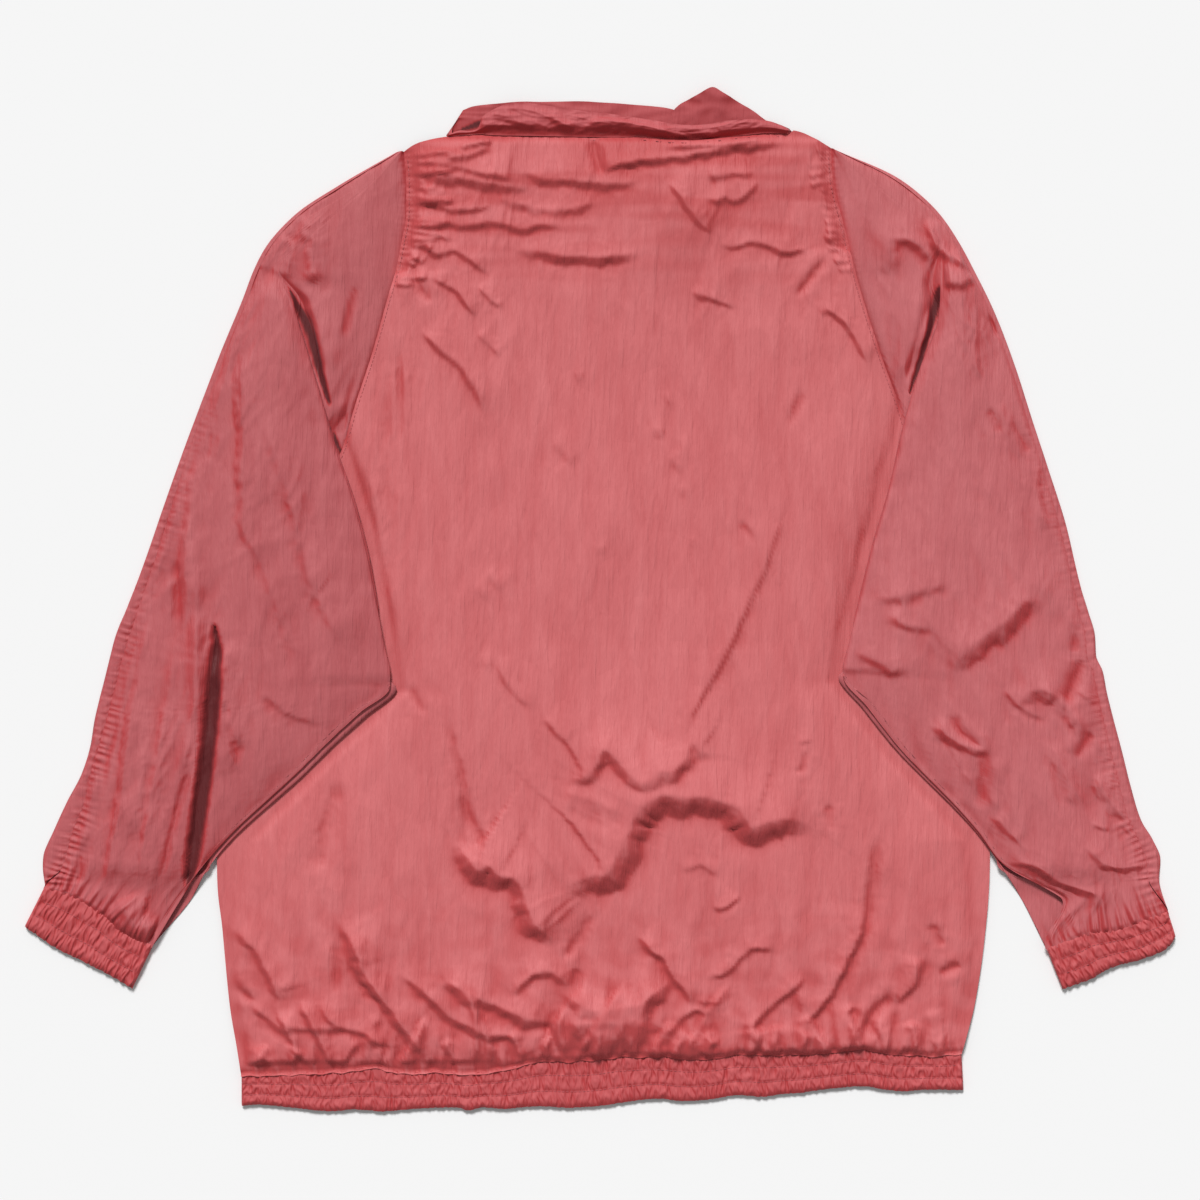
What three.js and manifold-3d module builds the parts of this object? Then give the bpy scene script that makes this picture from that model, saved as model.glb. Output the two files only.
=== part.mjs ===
// A batwing windbreaker jacket in thin crinkled nylon, laid flat on its front.
// The back is up, the collar points to +Y, and both sleeves are brought down
// and folded in a Z over the sides of the body. Millimetres, +Z up.
import * as THREE from 'three';

// ---------------------------------------------------------------- sizes
const GRID = 0.72; // one step of the laying-out chart; all tables below are in steps
const MIDDLE = { x: 600.3, y: 599.5 }; // the chart's point over the frame's origin
const CLOTH = 1.2; // the wall of a piece with its seam allowance
const SEAM = 0.2; // each piece stops this far short of its seam line
const LEVELS = { low: 0.6, second: 2.4, third: 4.2, top: 6.0 }; // mid-planes of the stacked layers
const ROLL = 0.9; // half the height of a folded edge
const CROWN = { height: 2.2, reach: 70 }; // how far the back stands off the fronts
const PUFF = { left: 2.6, right: 2.6 }; // how far the upper sleeve cloth stands up
const CHAIN = { half: 2.7, thick: 2.0 };
const TAPE = { from: 3.05, to: 8.0, thick: 1.0 };
const FRONT_EDGE = 8.4; // from the centre line to the edge of each front
const SLIDER = { wide: 9, long: 11, thick: 4, bow: 2, bowLong: 7, leg: 1.1, bowDrop: 2.9, bowWall: 0.9 };
const PULL = { wide: 7, long: 25, thick: 1.0, axisDrop: 1.0, window: 4, windowHalf: 1.5 };
const LIFT = { height: 4.2, spread: 30, x: 669.5, y: 212 }; // the cloth goes over the pull tab here
const CHAIN_RISE = { height: 0.6, spread: 14 };
const WAIST_RISE = 1.0; // the gathers at the waist seam stand this much higher
const COLOUR = { back: 0xcf6d70, sleeve: 0xbe6468, shade: 0xb95c60, band: 0xba5759, metal: 0xb9a8a2 };

// ---------------------------------------------------------------- tables
// Every row is one section across a sleeve, from the body outward.
// seam: armhole seam, then the underarm seam; inner: the hidden fold over the armhole;
// fold: the fold that lies on the body; outer: overarm seam; edge: outline; under: where the lower layer ends.
// lay: flat, step (the fold starts), pleat (three layers), knot (armpit), turn (two layers) or free.
const COLUMNS = ['lay', 'seam', 'inner', 'fold', 'outer', 'edge', 'under'];
const LEFT_SLEEVE = [
  ['flat', [403.8, 157.6], null, null, [399.2, 156.8], [395, 153.5], [403.8, 157.6]],
  ['flat', [406.5, 185], null, null, [343, 190], [338, 186.5], [406.5, 185]],
  ['flat', [406.3, 215], null, null, [301, 217.5], [296, 214.5], [406.3, 215]],
  ['flat', [401.5, 243], null, null, [272.5, 247.5], [267.5, 246], [401.5, 243]],
  ['flat', [396, 271], null, null, [260, 271.5], [255, 270], [396, 271]],
  ['step', [388, 300], [301, 303], [291, 303], [249, 300.5], [244, 299], [388, 300]],
  ['pleat', [372, 356], [272, 365], [310, 357], [228, 351], [223, 350], [372, 356]],
  ['pleat', [356.8, 402], [256, 425], [323, 402], [208.5, 403], [203, 402], [356.8, 402]],
  ['pleat', [340, 455], [246, 480], [337, 452], [190, 454], [184, 453], [340, 455]],
  ['pleat', [305, 515], [236, 535], [353, 500], [173, 507.5], [165, 506], [305, 515]],
  ['pleat', [263, 568], [229, 580], [368, 560], [155, 561.5], [146, 560], [263, 568]],
  ['knot', [214, 597.5], null, [377, 605], [138, 611], [127, 609], [218.5, 600.5]],
  ['turn', [219.5, 602.5], null, [379, 618], [133, 627], [121, 624], [217.5, 606.5]],
  ['turn', [266, 619.6], null, [381.5, 632], [128.5, 640], [116.5, 637], [265.6, 620.5]],
  ['turn', [308, 641.3], null, [385, 650], [122, 661], [111, 659], [307.6, 642.2]],
  ['turn', [350, 663], null, [388.5, 668], [117.5, 681], [106, 680], [349.6, 664]],
  ['free', [390.5, 684], null, null, [112, 701], [101, 700], [392, 690]],
  ['free', [361, 712], null, null, [106.6, 721], [96.5, 720], [366, 718]],
  ['free', [326.5, 744], null, null, [99, 747], [92.6, 745], [331, 751]],
  ['free', [296, 774.7], null, null, [91, 774], [84.2, 773], [302, 780]],
  ['free', [270, 798.5], null, null, [84, 804], [70, 801], [275, 808]],
  ['free', [236, 830], null, null, [73, 832], [57.5, 829], [244, 840]],
  ['free', [205, 864], null, null, [66, 857], [47, 855], [212.5, 873]],
  ['end', [176, 908], null, null, [60, 874.5], [44.5, 874], [190, 902]],
  ['end', [155, 941.8], null, null, [57, 889.6], [45.8, 883.8], [158, 943.5]],
];
const RIGHT_SLEEVE = [
  ['flat', [831, 152], null, null, [835.6, 152.8], [840, 152.2], [831, 152]],
  ['flat', [832.5, 178], null, null, [892, 182], [897, 178], [832.5, 178]],
  ['flat', [837, 201], null, null, [921, 204], [926, 200.5], [837, 201]],
  ['flat', [842, 219], null, null, [936, 219.5], [941, 216.5], [842, 219]],
  ['flat', [849, 248], null, null, [954, 246], [959, 243.5], [849, 248]],
  ['step', [856, 278], [931, 284], [941, 284], [968.5, 273], [973.6, 271], [856, 278]],
  ['pleat', [866.4, 314], [951, 328], [936, 319], [988, 312], [993, 311], [866.4, 314]],
  ['pleat', [884, 366], [957, 385], [916, 379], [1008.5, 367], [1014, 366], [884, 366]],
  ['pleat', [901, 412], [963, 435], [902, 428], [1025.5, 420], [1031, 419], [901, 412]],
  ['pleat', [918, 470], [969, 490], [889, 488], [1041.5, 472], [1048, 471], [918, 470]],
  ['pleat', [938, 530], [974, 550], [873, 545], [1057, 524.5], [1064.5, 523], [938, 530]],
  ['knot', [991, 614], null, [856.5, 613], [1072, 592], [1081, 590], [987.5, 617]],
  ['turn', [985.5, 619.5], null, [852, 630], [1078, 614], [1087, 612], [987, 622.5]],
  ['turn', [945, 631.2], null, [848.5, 645], [1084, 637], [1093.5, 636], [945.4, 632.2]],
  ['turn', [911, 645], null, [845.5, 656], [1085.5, 655.5], [1094.5, 655], [911.4, 646]],
  ['turn', [876, 659.2], null, [843.3, 665.5], [1091, 672], [1101, 671], [876.4, 660.2]],
  ['free', [843, 674], null, null, [1096, 692.5], [1105, 692], [841, 680]],
  ['free', [866, 706], null, null, [1101, 715.5], [1110.5, 715], [862, 712]],
  ['free', [898.6, 747.5], null, null, [1110, 753], [1120, 752], [893, 753]],
  ['free', [925.4, 776], null, null, [1118, 786], [1128, 785], [920, 782]],
  ['free', [952, 803], null, null, [1127, 821], [1138.5, 820], [947, 810]],
  ['free', [976, 830], null, null, [1136, 840], [1149, 838], [972, 840]],
  ['free', [1001, 862.5], null, null, [1144, 860], [1157, 858], [998, 869]],
  ['end', [1060, 897], null, null, [1146, 882], [1158, 880], [1022, 900]],
  ['end', [1099, 928], null, null, [1155, 911.5], [1166, 908.5], [1045, 944.2]],
];
const ARMPIT = { left: [225, 598], right: [980, 617] };
const BODY_SIDE = {
  left: [[225, 598], [221, 740], [217.5, 870], [223, 930], [230, 1003], [237, 1045], [242, 1073.3]],
  right: [[980, 617], [987, 740], [989.3, 865], [984, 939], [975, 1000], [966, 1035], [961, 1050.8]],
};
const NECK_SEAM = [[448, 137], [474.4, 134.5], [524, 136.5], [578, 137.5], [638, 138], [689, 142], [746.7, 136], [789, 134]];
const SHOULDER = {
  left: [[403.8, 157.6], [415, 145.5], [448, 137]],
  right: [[789, 134], [808, 136], [831, 152]],
};
const FRONT_NECK = { left: [[448, 139], [480, 152], [530, 171], [600, 184], [672, 187]], right: [[789, 136], [760, 158], [722, 176], [672, 187]] };
const CENTRE_FRONT = [[672, 187], [601.5, 1103]];
const WAIST_SEAM = [[242, 1073.3], [307, 1071], [378.6, 1065.5], [417, 1070.5], [475.5, 1071], [544, 1058.5], [616, 1054.5], [692, 1056.5], [739.6, 1052], [826.6, 1050.5], [896.7, 1051.5], [961, 1050.8]];
const WAIST_EDGE = [[242, 1105], [332.7, 1110], [417, 1108], [506, 1107.5], [600, 1105], [652.6, 1098.5], [737, 1095], [829, 1088.5], [882.7, 1088.5], [963, 1089.5]];
const COLLAR_TOP = {
  left: [[671, 108], [635.7, 105.7], [600, 103.2], [543, 102.6], [497, 104.2], [474, 107], [464, 111.5]],
  leftTurn: [453, 127],
  back: [[456, 128.5], [474.4, 122], [503, 107.6], [520.4, 104.2], [550, 107.6], [600, 114], [651, 121.7], [689, 126.8], [727.6, 122.3], [768.4, 122], [783, 128]],
  rightTurn: [789, 129],
  right: [[782, 127], [768, 122], [740, 104.2], [712, 89], [690, 101], [676, 110.5]],
};
const CUFF = {
  left: { top: [[45.8, 885.2], [154, 943.8]], bottom: [[25.5, 926], [56, 946], [104, 971.5], [133.5, 988]] },
  right: { top: [[1166.8, 910.2], [1045.5, 946]], bottom: [[1174.8, 936], [1158.6, 951.5], [1104, 969.5], [1061, 988.5]] },
};
// The largest folds of the back: a ridge from one point to the other, height and half width in mm.
const FOLDS = [
  { name: 'yoke', from: [430, 175], to: [560, 195], high: 2.2, half: 12 },
  { name: 'yoke_right', from: [620, 195], to: [780, 152], high: 2.2, half: 12 },
  { name: 'upper', from: [430, 245], to: [640, 248], high: 1.8, half: 14 },
  { name: 'left_draw', from: [420, 255], to: [490, 400], high: 1.8, half: 12 },
  { name: 'right_draw', from: [700, 215], to: [830, 262], high: 1.6, half: 12 },
  { name: 'diagonal', from: [788, 490], to: [680, 745], high: 2.4, half: 12 },
  { name: 'ribbon', from: [570, 770], to: [712, 752], high: 2.2, half: 12 },
  { name: 'band', from: [575, 868], to: [800, 800], high: 3.4, half: 14 },
  { name: 'band_left', from: [452, 836], to: [556, 935], high: 3.2, half: 14 },
  { name: 'draw_left', from: [332, 790], to: [322, 900], high: 2.2, half: 12 },
  { name: 'side_left', from: [338, 917], to: [440, 1050], high: 2.6, half: 12 },
  { name: 'hem_left', from: [245, 945], to: [290, 1030], high: 2.0, half: 12 },
  { name: 'hem_mid', from: [500, 985], to: [665, 995], high: 2.6, half: 12 },
  { name: 'hem_right', from: [865, 905], to: [800, 1020], high: 2.4, half: 12 },
  { name: 'hem_far', from: [920, 955], to: [865, 1040], high: 2.2, half: 12 },
];
const COUNTS = { neck: 20, shoulder: 2, side: 13, sideFront: 3, front: 8, frontShoulder: 2, collar: 3, band: 2, top: 4, cuff: 8, zip: 14 };

// ---------------------------------------------------------------- geometry
const X = (p) => (p[0] - MIDDLE.x) * GRID;
const Y = (p) => (MIDDLE.y - p[1]) * GRID;
const lerp = (a, b, t) => a + (b - a) * t;
const mix = (p, q, t) => p.map((v, k) => lerp(v, q[k], t));
const smooth = (t) => { const s = Math.min(1, Math.max(0, t)); return s * s * (3 - 2 * s); };
const named = (rows) => rows.map((r) => Object.fromEntries(COLUMNS.map((c, k) => [c, r[k]])));

// n + 1 points at even spacing along a smooth curve through a short table.
function sample(table, n) {
  if (table.length === 2) return Array.from({ length: n + 1 }, (_, i) => mix(table[0], table[1], i / n));
  const curve = new THREE.CatmullRomCurve3(table.map((p) => new THREE.Vector3(p[0], p[1], 0)), false, 'centripetal');
  return curve.getSpacedPoints(n).map((v) => [v.x, v.y]);
}

// The same line moved sideways by d millimetres, to its left as it runs (chart y points down).
function shifted(line, d) {
  return line.map((p, i) => {
    const a = line[Math.max(i - 1, 0)], b = line[Math.min(i + 1, line.length - 1)];
    const l = Math.hypot(b[0] - a[0], b[1] - a[1]);
    return [p[0] + ((b[1] - a[1]) / l) * (d / GRID), p[1] - ((b[0] - a[0]) / l) * (d / GRID)];
  });
}

// A Coons patch in plan between four lines: rows run from top to bottom, columns from left to right.
function patch(top, bottom, left, right) {
  const n = top.length - 1, m = left.length - 1;
  return left.map((_, j) => top.map((_, i) => {
    const u = i / n, v = j / m;
    return [0, 1].map((k) => (1 - v) * top[i][k] + v * bottom[i][k] + (1 - u) * left[j][k] + u * right[j][k]
      - ((1 - u) * (1 - v) * top[0][k] + u * (1 - v) * top[n][k] + (1 - u) * v * bottom[0][k] + u * v * bottom[n][k]));
  }));
}

// A closed wall from a grid of mid-surface points [x, y, z] in mm.
function wall(grid, thick, ring = false) {
  const m = grid.length, n = grid[0].length;
  const at = (j, i) => new THREE.Vector3(...grid[Math.min(m - 1, Math.max(0, j))][ring ? (i + n) % n : Math.min(n - 1, Math.max(0, i))]);
  const upper = [], lower = [];
  for (let j = 0; j < m; j++) {
    for (let i = 0; i < n; i++) {
      const along = at(j, i + 1).sub(at(j, i - 1)), down = at(j + 1, i).sub(at(j - 1, i));
      const normal = down.cross(along).normalize();
      const rim = j === 0 || j === m - 1 || (!ring && (i === 0 || i === n - 1));
      if (rim && Math.abs(normal.z) > 0.5) normal.set(0, 0, Math.sign(normal.z));
      upper.push(at(j, i).addScaledVector(normal, thick / 2));
      lower.push(at(j, i).addScaledVector(normal, -thick / 2));
    }
  }
  const index = [], id = (j, i) => j * n + ((i + n) % n), low = m * n;
  const quad = (a, b, c, d) => index.push(a, b, c, a, c, d);
  const last = ring ? n : n - 1;
  for (let j = 0; j < m - 1; j++) {
    for (let i = 0; i < last; i++) {
      quad(id(j, i), id(j + 1, i), id(j + 1, i + 1), id(j, i + 1));
      quad(low + id(j, i), low + id(j, i + 1), low + id(j + 1, i + 1), low + id(j + 1, i));
    }
    if (!ring) {
      quad(id(j, 0), low + id(j, 0), low + id(j + 1, 0), id(j + 1, 0));
      quad(id(j, n - 1), id(j + 1, n - 1), low + id(j + 1, n - 1), low + id(j, n - 1));
    }
  }
  for (let i = 0; i < last; i++) {
    quad(id(0, i), id(0, i + 1), low + id(0, i + 1), low + id(0, i));
    quad(id(m - 1, i), low + id(m - 1, i), low + id(m - 1, i + 1), id(m - 1, i + 1));
  }
  const points = [...upper, ...lower];
  let volume = 0;
  for (let k = 0; k < index.length; k += 3) {
    const [a, b, c] = [0, 1, 2].map((q) => points[index[k + q]]);
    volume += a.dot(b.clone().cross(c)) / 6;
  }
  if (volume < 0) index.reverse();
  const geometry = new THREE.BufferGeometry();
  geometry.setAttribute('position', new THREE.Float32BufferAttribute(points.flatMap((p) => [p.x, p.y, p.z]), 3));
  geometry.setIndex(index);
  geometry.computeVertexNormals();
  return geometry;
}

const jacket = new THREE.Group();
jacket.name = 'windbreaker';
function add(name, geometry, color, roughness, metalness = 0, parent = jacket) {
  const mesh = new THREE.Mesh(geometry, new THREE.MeshStandardMaterial({ color, roughness, metalness }));
  mesh.name = name;
  parent.add(mesh);
  return mesh;
}

// ---------------------------------------------------------------- heights
const centreX = (y) => lerp(CENTRE_FRONT[0][0], CENTRE_FRONT[1][0], (y - CENTRE_FRONT[0][1]) / (CENTRE_FRONT[1][1] - CENTRE_FRONT[0][1]));
function lift(p) {
  const dx = (p[0] - LIFT.x) * GRID, dy = (p[1] - LIFT.y) * GRID;
  return LIFT.height * Math.exp(-(dx * dx + dy * dy) / (2 * LIFT.spread ** 2));
}
// The mid-plane of the lowest layer: flat on the surface, higher along the chain and over the pull tab.
function ground(p) {
  const off = (p[0] - centreX(p[1])) * GRID;
  return LEVELS.low + lift(p) + CHAIN_RISE.height * Math.exp(-((off / CHAIN_RISE.spread) ** 2));
}
const onGround = (p) => [X(p), Y(p), ground(p)];

// Where the back comes out from under the sleeves, as x at a given y.
const bare = (rows, side) => {
  const line = rows.map((r) => (r.lay === 'free' || r.lay === 'end' ? r.under : r.fold ?? r.seam)).filter((p, i) => i < 22);
  return [...line, ...BODY_SIDE[side].slice(3)].sort((a, b) => a[1] - b[1]);
};
function crossing(line, y) {
  if (y <= line[0][1]) return line[0][0];
  for (let i = 1; i < line.length; i++) if (y <= line[i][1]) return lerp(line[i - 1][0], line[i][0], (y - line[i - 1][1]) / (line[i][1] - line[i - 1][1] || 1));
  return line.at(-1)[0];
}
const left = named(LEFT_SLEEVE), right = named(RIGHT_SLEEVE);
const bareLeft = bare(left, 'left'), bareRight = bare(right, 'right');
function backHeight(p) {
  const inside = Math.min(p[0] - crossing(bareLeft, p[1]) - 6, crossing(bareRight, p[1]) - p[0] - 6, 1.2 * (p[1] - 136), 1.6 * (1062 - p[1]));
  const clear = smooth(inside / CROWN.reach);
  let z = LEVELS.second + lift(p) + CROWN.height * clear + WAIST_RISE * smooth((p[1] - 1000) / 50);
  for (const f of FOLDS) {
    const dx = f.to[0] - f.from[0], dy = f.to[1] - f.from[1];
    const t = ((p[0] - f.from[0]) * dx + (p[1] - f.from[1]) * dy) / (dx * dx + dy * dy);
    const s = Math.min(1, Math.max(0, t));
    const away = Math.hypot(p[0] - f.from[0] - s * dx, p[1] - f.from[1] - s * dy) * GRID;
    z += clear * f.high * Math.exp(-((away / f.half) ** 2));
  }
  return z;
}

// ---------------------------------------------------------------- body
const armhole = (rows, side) => [...rows.slice(0, 11).map((r) => r.seam), ARMPIT[side]];
const edgeOf = (rows, side, n) => [...armhole(rows, side), ...sample(BODY_SIDE[side], n).slice(1)];
{
  const neck = sample(NECK_SEAM, COUNTS.neck);
  const top = [...sample(SHOULDER.left, COUNTS.shoulder).slice(0, -1), ...neck, ...sample(SHOULDER.right, COUNTS.shoulder).slice(1)];
  const bottom = sample(WAIST_SEAM, top.length - 1);
  const sideL = edgeOf(left, 'left', COUNTS.side), sideR = edgeOf(right, 'right', COUNTS.side);
  const plan = patch(shifted(top, -SEAM), shifted(bottom, SEAM), shifted(sideL, SEAM), shifted(sideR, -SEAM));
  add('back', wall(plan.map((row) => row.map((p) => [X(p), Y(p), backHeight(p)])), CLOTH), COLOUR.back, 0.62);
}
// The fronts are plain: the same armholes and sides, a lower neck and the opening down the middle.
const frontTop = {}, frontBottom = {};
for (const [side, rows, s] of [['left', left, -1], ['right', right, 1]]) {
  const toCentre = (p, t) => [p[0] + (s * t * FRONT_EDGE) / GRID, p[1]];
  const shoulder = side === 'left' ? sample(SHOULDER.left, COUNTS.frontShoulder) : sample([...SHOULDER.right].reverse(), COUNTS.frontShoulder);
  const neck = sample(FRONT_NECK[side], COUNTS.front - COUNTS.frontShoulder);
  neck[neck.length - 1] = toCentre(neck.at(-1), 1);
  frontTop[side] = neck;
  const top = [...shoulder.slice(0, -1), ...neck];
  const waist = sample(WAIST_SEAM, 2 * COUNTS.front);
  const bottom = side === 'left' ? waist.slice(0, COUNTS.front + 1) : waist.slice(COUNTS.front).reverse();
  bottom[bottom.length - 1] = [centreX(bottom.at(-1)[1]) + (s * FRONT_EDGE) / GRID, bottom.at(-1)[1]];
  frontBottom[side] = bottom;
  const outer = edgeOf(rows, side, COUNTS.sideFront);
  const inner = sample([top.at(-1), bottom.at(-1)], outer.length - 1);
  const plan = patch(shifted(top, s * SEAM), shifted(bottom, -s * SEAM), shifted(outer, -s * SEAM), inner);
  add(`front_${side}`, wall(plan.map((row) => row.map(onGround)), CLOTH), COLOUR.shade, 0.62);
}

// ---------------------------------------------------------------- sleeves
// A folded edge as three points: before, at and after the turn. With turned 0 they lie in line.
function turn(p, out, zFrom, zTo, turned) {
  const l = Math.hypot(...out), d = [out[0] / l, out[1] / l], r = ROLL / GRID;
  const shift = (k) => [p[0] + d[0] * k, p[1] + d[1] * k];
  return turned ? [[shift(-r), zFrom], [p, (zFrom + zTo) / 2], [shift(-r), zTo]]
    : [[shift(-1.4 * r), zFrom], [p, (zFrom + zTo) / 2], [shift(1.4 * r), zTo]];
}
const minus = (a, b) => [a[0] - b[0], a[1] - b[1]];
const Z_OUTER = 3.2;
function upperSleeve(rows, side) {
  const s = side === 'left' ? -1 : 1, seamLine = rows.map((r) => r.seam);
  const seam = shifted(seamLine, s * SEAM);
  return rows.map((r, j) => {
    const out = [r.outer, r.edge], reach = Math.hypot(...minus(r.edge, r.outer));
    const o = mix(r.outer, r.edge, -SEAM / GRID / reach);
    const start = r.lay === 'flat' || r.lay === 'step' || r.lay === 'pleat' ? seam[j] : r.seam;
    let profile;
    const flatAlong = (z0, z1) => [0.12, 0.16, 0.2, 0.24, 0.28, 0.32, 0.36, 0.4].map((t) => [mix(start, o, t), lerp(z0, z1, t)]);
    if (r.lay === 'flat') profile = [[start, LEVELS.second], ...flatAlong(LEVELS.second, Z_OUTER)];
    else if (r.lay === 'free') {
      const z = rows[j - 1].lay === 'turn' ? LEVELS.top - 0.3 : LEVELS.top, near = rows[j - 1].lay === 'turn' ? 0.03 : 1;
      profile = [[start, z], ...flatAlong(z, z).map(([p]) => [mix(start, p, near), z])];
    } else if (r.lay === 'end') profile = [[start, Z_OUTER], ...flatAlong(Z_OUTER, Z_OUTER + 0.4)];
    else if (r.lay === 'knot') {
      const a = turn(start, minus(start, r.fold), LEVELS.second + 0.35, LEVELS.third, true);
      const b = turn(r.fold, minus(r.fold, start), LEVELS.third, LEVELS.top, true);
      profile = [[mix(start, a[0][0], 0.6), LEVELS.second + 0.2], [mix(start, a[0][0], 0.4), LEVELS.second + 0.4], [mix(start, a[0][0], 0.2), LEVELS.second + 0.65], [start, LEVELS.second + 0.9], a[2],
        [mix(start, r.fold, 0.5), LEVELS.third], ...b];
    } else if (r.lay === 'turn') {
      const b = turn(r.fold, minus(r.fold, start), LEVELS.third, LEVELS.top, true);
      profile = [[start, LEVELS.third], ...[0.12, 0.24, 0.36, 0.5, 0.7].map((t) => [mix(start, b[0][0], t), LEVELS.third]), ...b];
    } else {
      const a = r.lay === 'step' ? turn(r.inner, minus(r.inner, start), LEVELS.second, 3.4, false) : turn(r.inner, minus(r.inner, start), LEVELS.second, LEVELS.third, true);
      const b = r.lay === 'step' ? turn(r.fold, minus(r.outer, r.fold), 4.6, LEVELS.top, false) : turn(r.fold, minus(r.fold, r.inner), LEVELS.third, LEVELS.top, true);
      profile = [[start, LEVELS.second], [mix(start, a[0][0], 0.5), LEVELS.second], ...a, [mix(a[2][0], b[0][0], 0.5), (a[2][1] + b[0][1]) / 2], ...b];
    }
    const [from, z0] = profile.at(-1), zEnd = r.lay === 'end' ? Z_OUTER : Z_OUTER, high = r.lay === 'end' ? 0.4 : PUFF[side] * (r.lay === 'flat' ? 0.7 : 1);
    for (let k = 1; k <= COUNTS.top; k++) {
      const t = k / (COUNTS.top + 1);
      profile.push([mix(from, o, t), lerp(z0, zEnd, t * t) + high * Math.sin(Math.PI * t) * (j === 0 ? 0.1 : 0.6)]);
    }
    profile.push([o, zEnd]);
    return profile.map(([p, z]) => [X(p), Y(p), z]);
  });
}
function lowerSleeve(rows, side) {
  const s = side === 'left' ? -1 : 1, hem = shifted(rows.map((r) => r.under), s * SEAM);
  return rows.map((r, j) => {
    const d = minus(r.edge, r.outer), l = Math.hypot(...d), n = [d[0] / l, d[1] / l];
    const inset = (k) => [r.edge[0] - (n[0] * k) / GRID, r.edge[1] - (n[1] * k) / GRID];
    const end = j < 11 ? hem[j] : r.under;
    const over = (r.lay === 'turn' || r.lay === 'free');
    const sideX = crossing([...BODY_SIDE[side]].sort((a, b) => a[1] - b[1]), lerp(r.edge[1], end[1], 0.5));
    const from = inset(CLOTH / 2 + ROLL);
    const where = (x) => mix(from, end, (x - from[0]) / (end[0] - from[0]));
    const foot = over ? where(sideX + s * 24) : mix(from, end, 0.55);
    const head = over ? where(sideX + s * 9) : mix(from, end, 0.7);
    const zUp = over ? LEVELS.third : LEVELS.low;
    const profile = [
      [mix(r.outer, r.edge, SEAM / GRID / l), Z_OUTER],
      [inset(CLOTH / 2 + ROLL), Z_OUTER - 0.25],
      [inset(CLOTH / 2), (Z_OUTER + LEVELS.low) / 2],
      [from, LEVELS.low],
      [mix(from, foot, 0.5), LEVELS.low],
      [foot, LEVELS.low],
      [head, zUp],
      [mix(head, end, 0.5), zUp],
      [end, zUp],
    ];
    return profile.map(([p, z]) => [X(p), Y(p), z]);
  });
}
for (const [side, rows] of [['left', left], ['right', right]]) {
  add(`sleeve_back_${side}`, wall(upperSleeve(rows, side), CLOTH), COLOUR.sleeve, 0.62);
  add(`sleeve_front_${side}`, wall(lowerSleeve(rows, side), CLOTH), COLOUR.shade, 0.62);
}

// ---------------------------------------------------------------- collar
{
  const levels = COUNTS.collar, stations = [];
  const push = (low, high, height, arch) => stations.push({ low, high, height, arch });
  const apart = (p, q) => mix(p, q, (2 * SEAM) / GRID / Math.max(1, Math.hypot(...minus(q, p))));
  const frontL = [...frontTop.left].reverse(), topL = sample(COLLAR_TOP.left, frontL.length - 1);
  frontL.forEach((p, i) => push(apart(p, topL[i]), topL[i], ground, 0));
  push([446.2, 135.6], COLLAR_TOP.leftTurn, () => 1.5, 0);
  const neck = sample(NECK_SEAM, COUNTS.neck), topB = sample(COLLAR_TOP.back, COUNTS.neck);
  neck.forEach((p, i) => push(apart(p, topB[i]), topB[i], (q) => LEVELS.second + lift(q), 2.2 * Math.sin((Math.PI * i) / COUNTS.neck)));
  push([791.4, 133.2], COLLAR_TOP.rightTurn, () => 1.5, 0);
  const frontR = frontTop.right, topR = sample(COLLAR_TOP.right, frontR.length - 1);
  frontR.forEach((p, i) => push(apart(p, topR[i]), topR[i], ground, 0));
  const grid = Array.from({ length: levels + 1 }, (_, k) => stations.map((c) => {
    const t = k / levels, p = mix(c.low, c.high, t);
    return [X(p), Y(p), c.height(p) + c.arch * Math.sin(Math.PI * Math.min(1, t * 1.1))];
  }));
  add('collar', wall(grid, CLOTH), COLOUR.sleeve, 0.62);
}

// ---------------------------------------------------------------- waistband and cuffs
{
  const n = COUNTS.neck + 2 * COUNTS.shoulder, m = COUNTS.front;
  const upperTop = shifted(sample(WAIST_SEAM, n), -SEAM), upperEnd = sample(WAIST_EDGE, n);
  const lowerEnd = sample(WAIST_EDGE, 2 * m);
  const low = (side, s) => {
    const top = shifted(frontBottom[side], s * SEAM);
    const end = side === 'left' ? lowerEnd.slice(0, m + 1) : lowerEnd.slice(m).reverse();
    end[m] = [centreX(end[m][1]) + (s * FRONT_EDGE) / GRID, end[m][1]];
    return [top, end];
  };
  const inX = (p, s, k) => [p[0] - (s * k) / GRID, p[1]];
  const column = (a, b, z) => Array.from({ length: COUNTS.band + 1 }, (_, k) => {
    const p = mix(a, b, k / COUNTS.band);
    return [X(p), Y(p), z(p)];
  });
  const columns = [];
  const [tl, el] = low('left', -1), [tr, er] = low('right', 1);
  for (let i = m; i >= 1; i--) columns.push(column(tl[i], el[i], ground));
  columns.push(column(inX(tl[0], -1, 1.8), inX(el[0], -1, 1.8), ground));
  columns.push(column(inX(tl[0], -1, 0.7), inX(el[0], -1, 0.7), () => 2.0));
  columns.push(column(inX(tl[0], -1, 1.8), inX(el[0], -1, 1.8), () => 3.4));
  for (let i = 1; i < n; i++) columns.push(column(upperTop[i], upperEnd[i], () => 3.6));
  columns.push(column(inX(tr[0], 1, 1.8), inX(er[0], 1, 1.8), () => 3.4));
  columns.push(column(inX(tr[0], 1, 0.7), inX(er[0], 1, 0.7), () => 2.0));
  columns.push(column(inX(tr[0], 1, 1.8), inX(er[0], 1, 1.8), ground));
  for (let i = 1; i <= m; i++) columns.push(column(tr[i], er[i], ground));
  const grid = Array.from({ length: COUNTS.band + 1 }, (_, k) => columns.map((c) => c[k]));
  add('waistband', wall(grid, CLOTH), COLOUR.band, 0.7);
}
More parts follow.
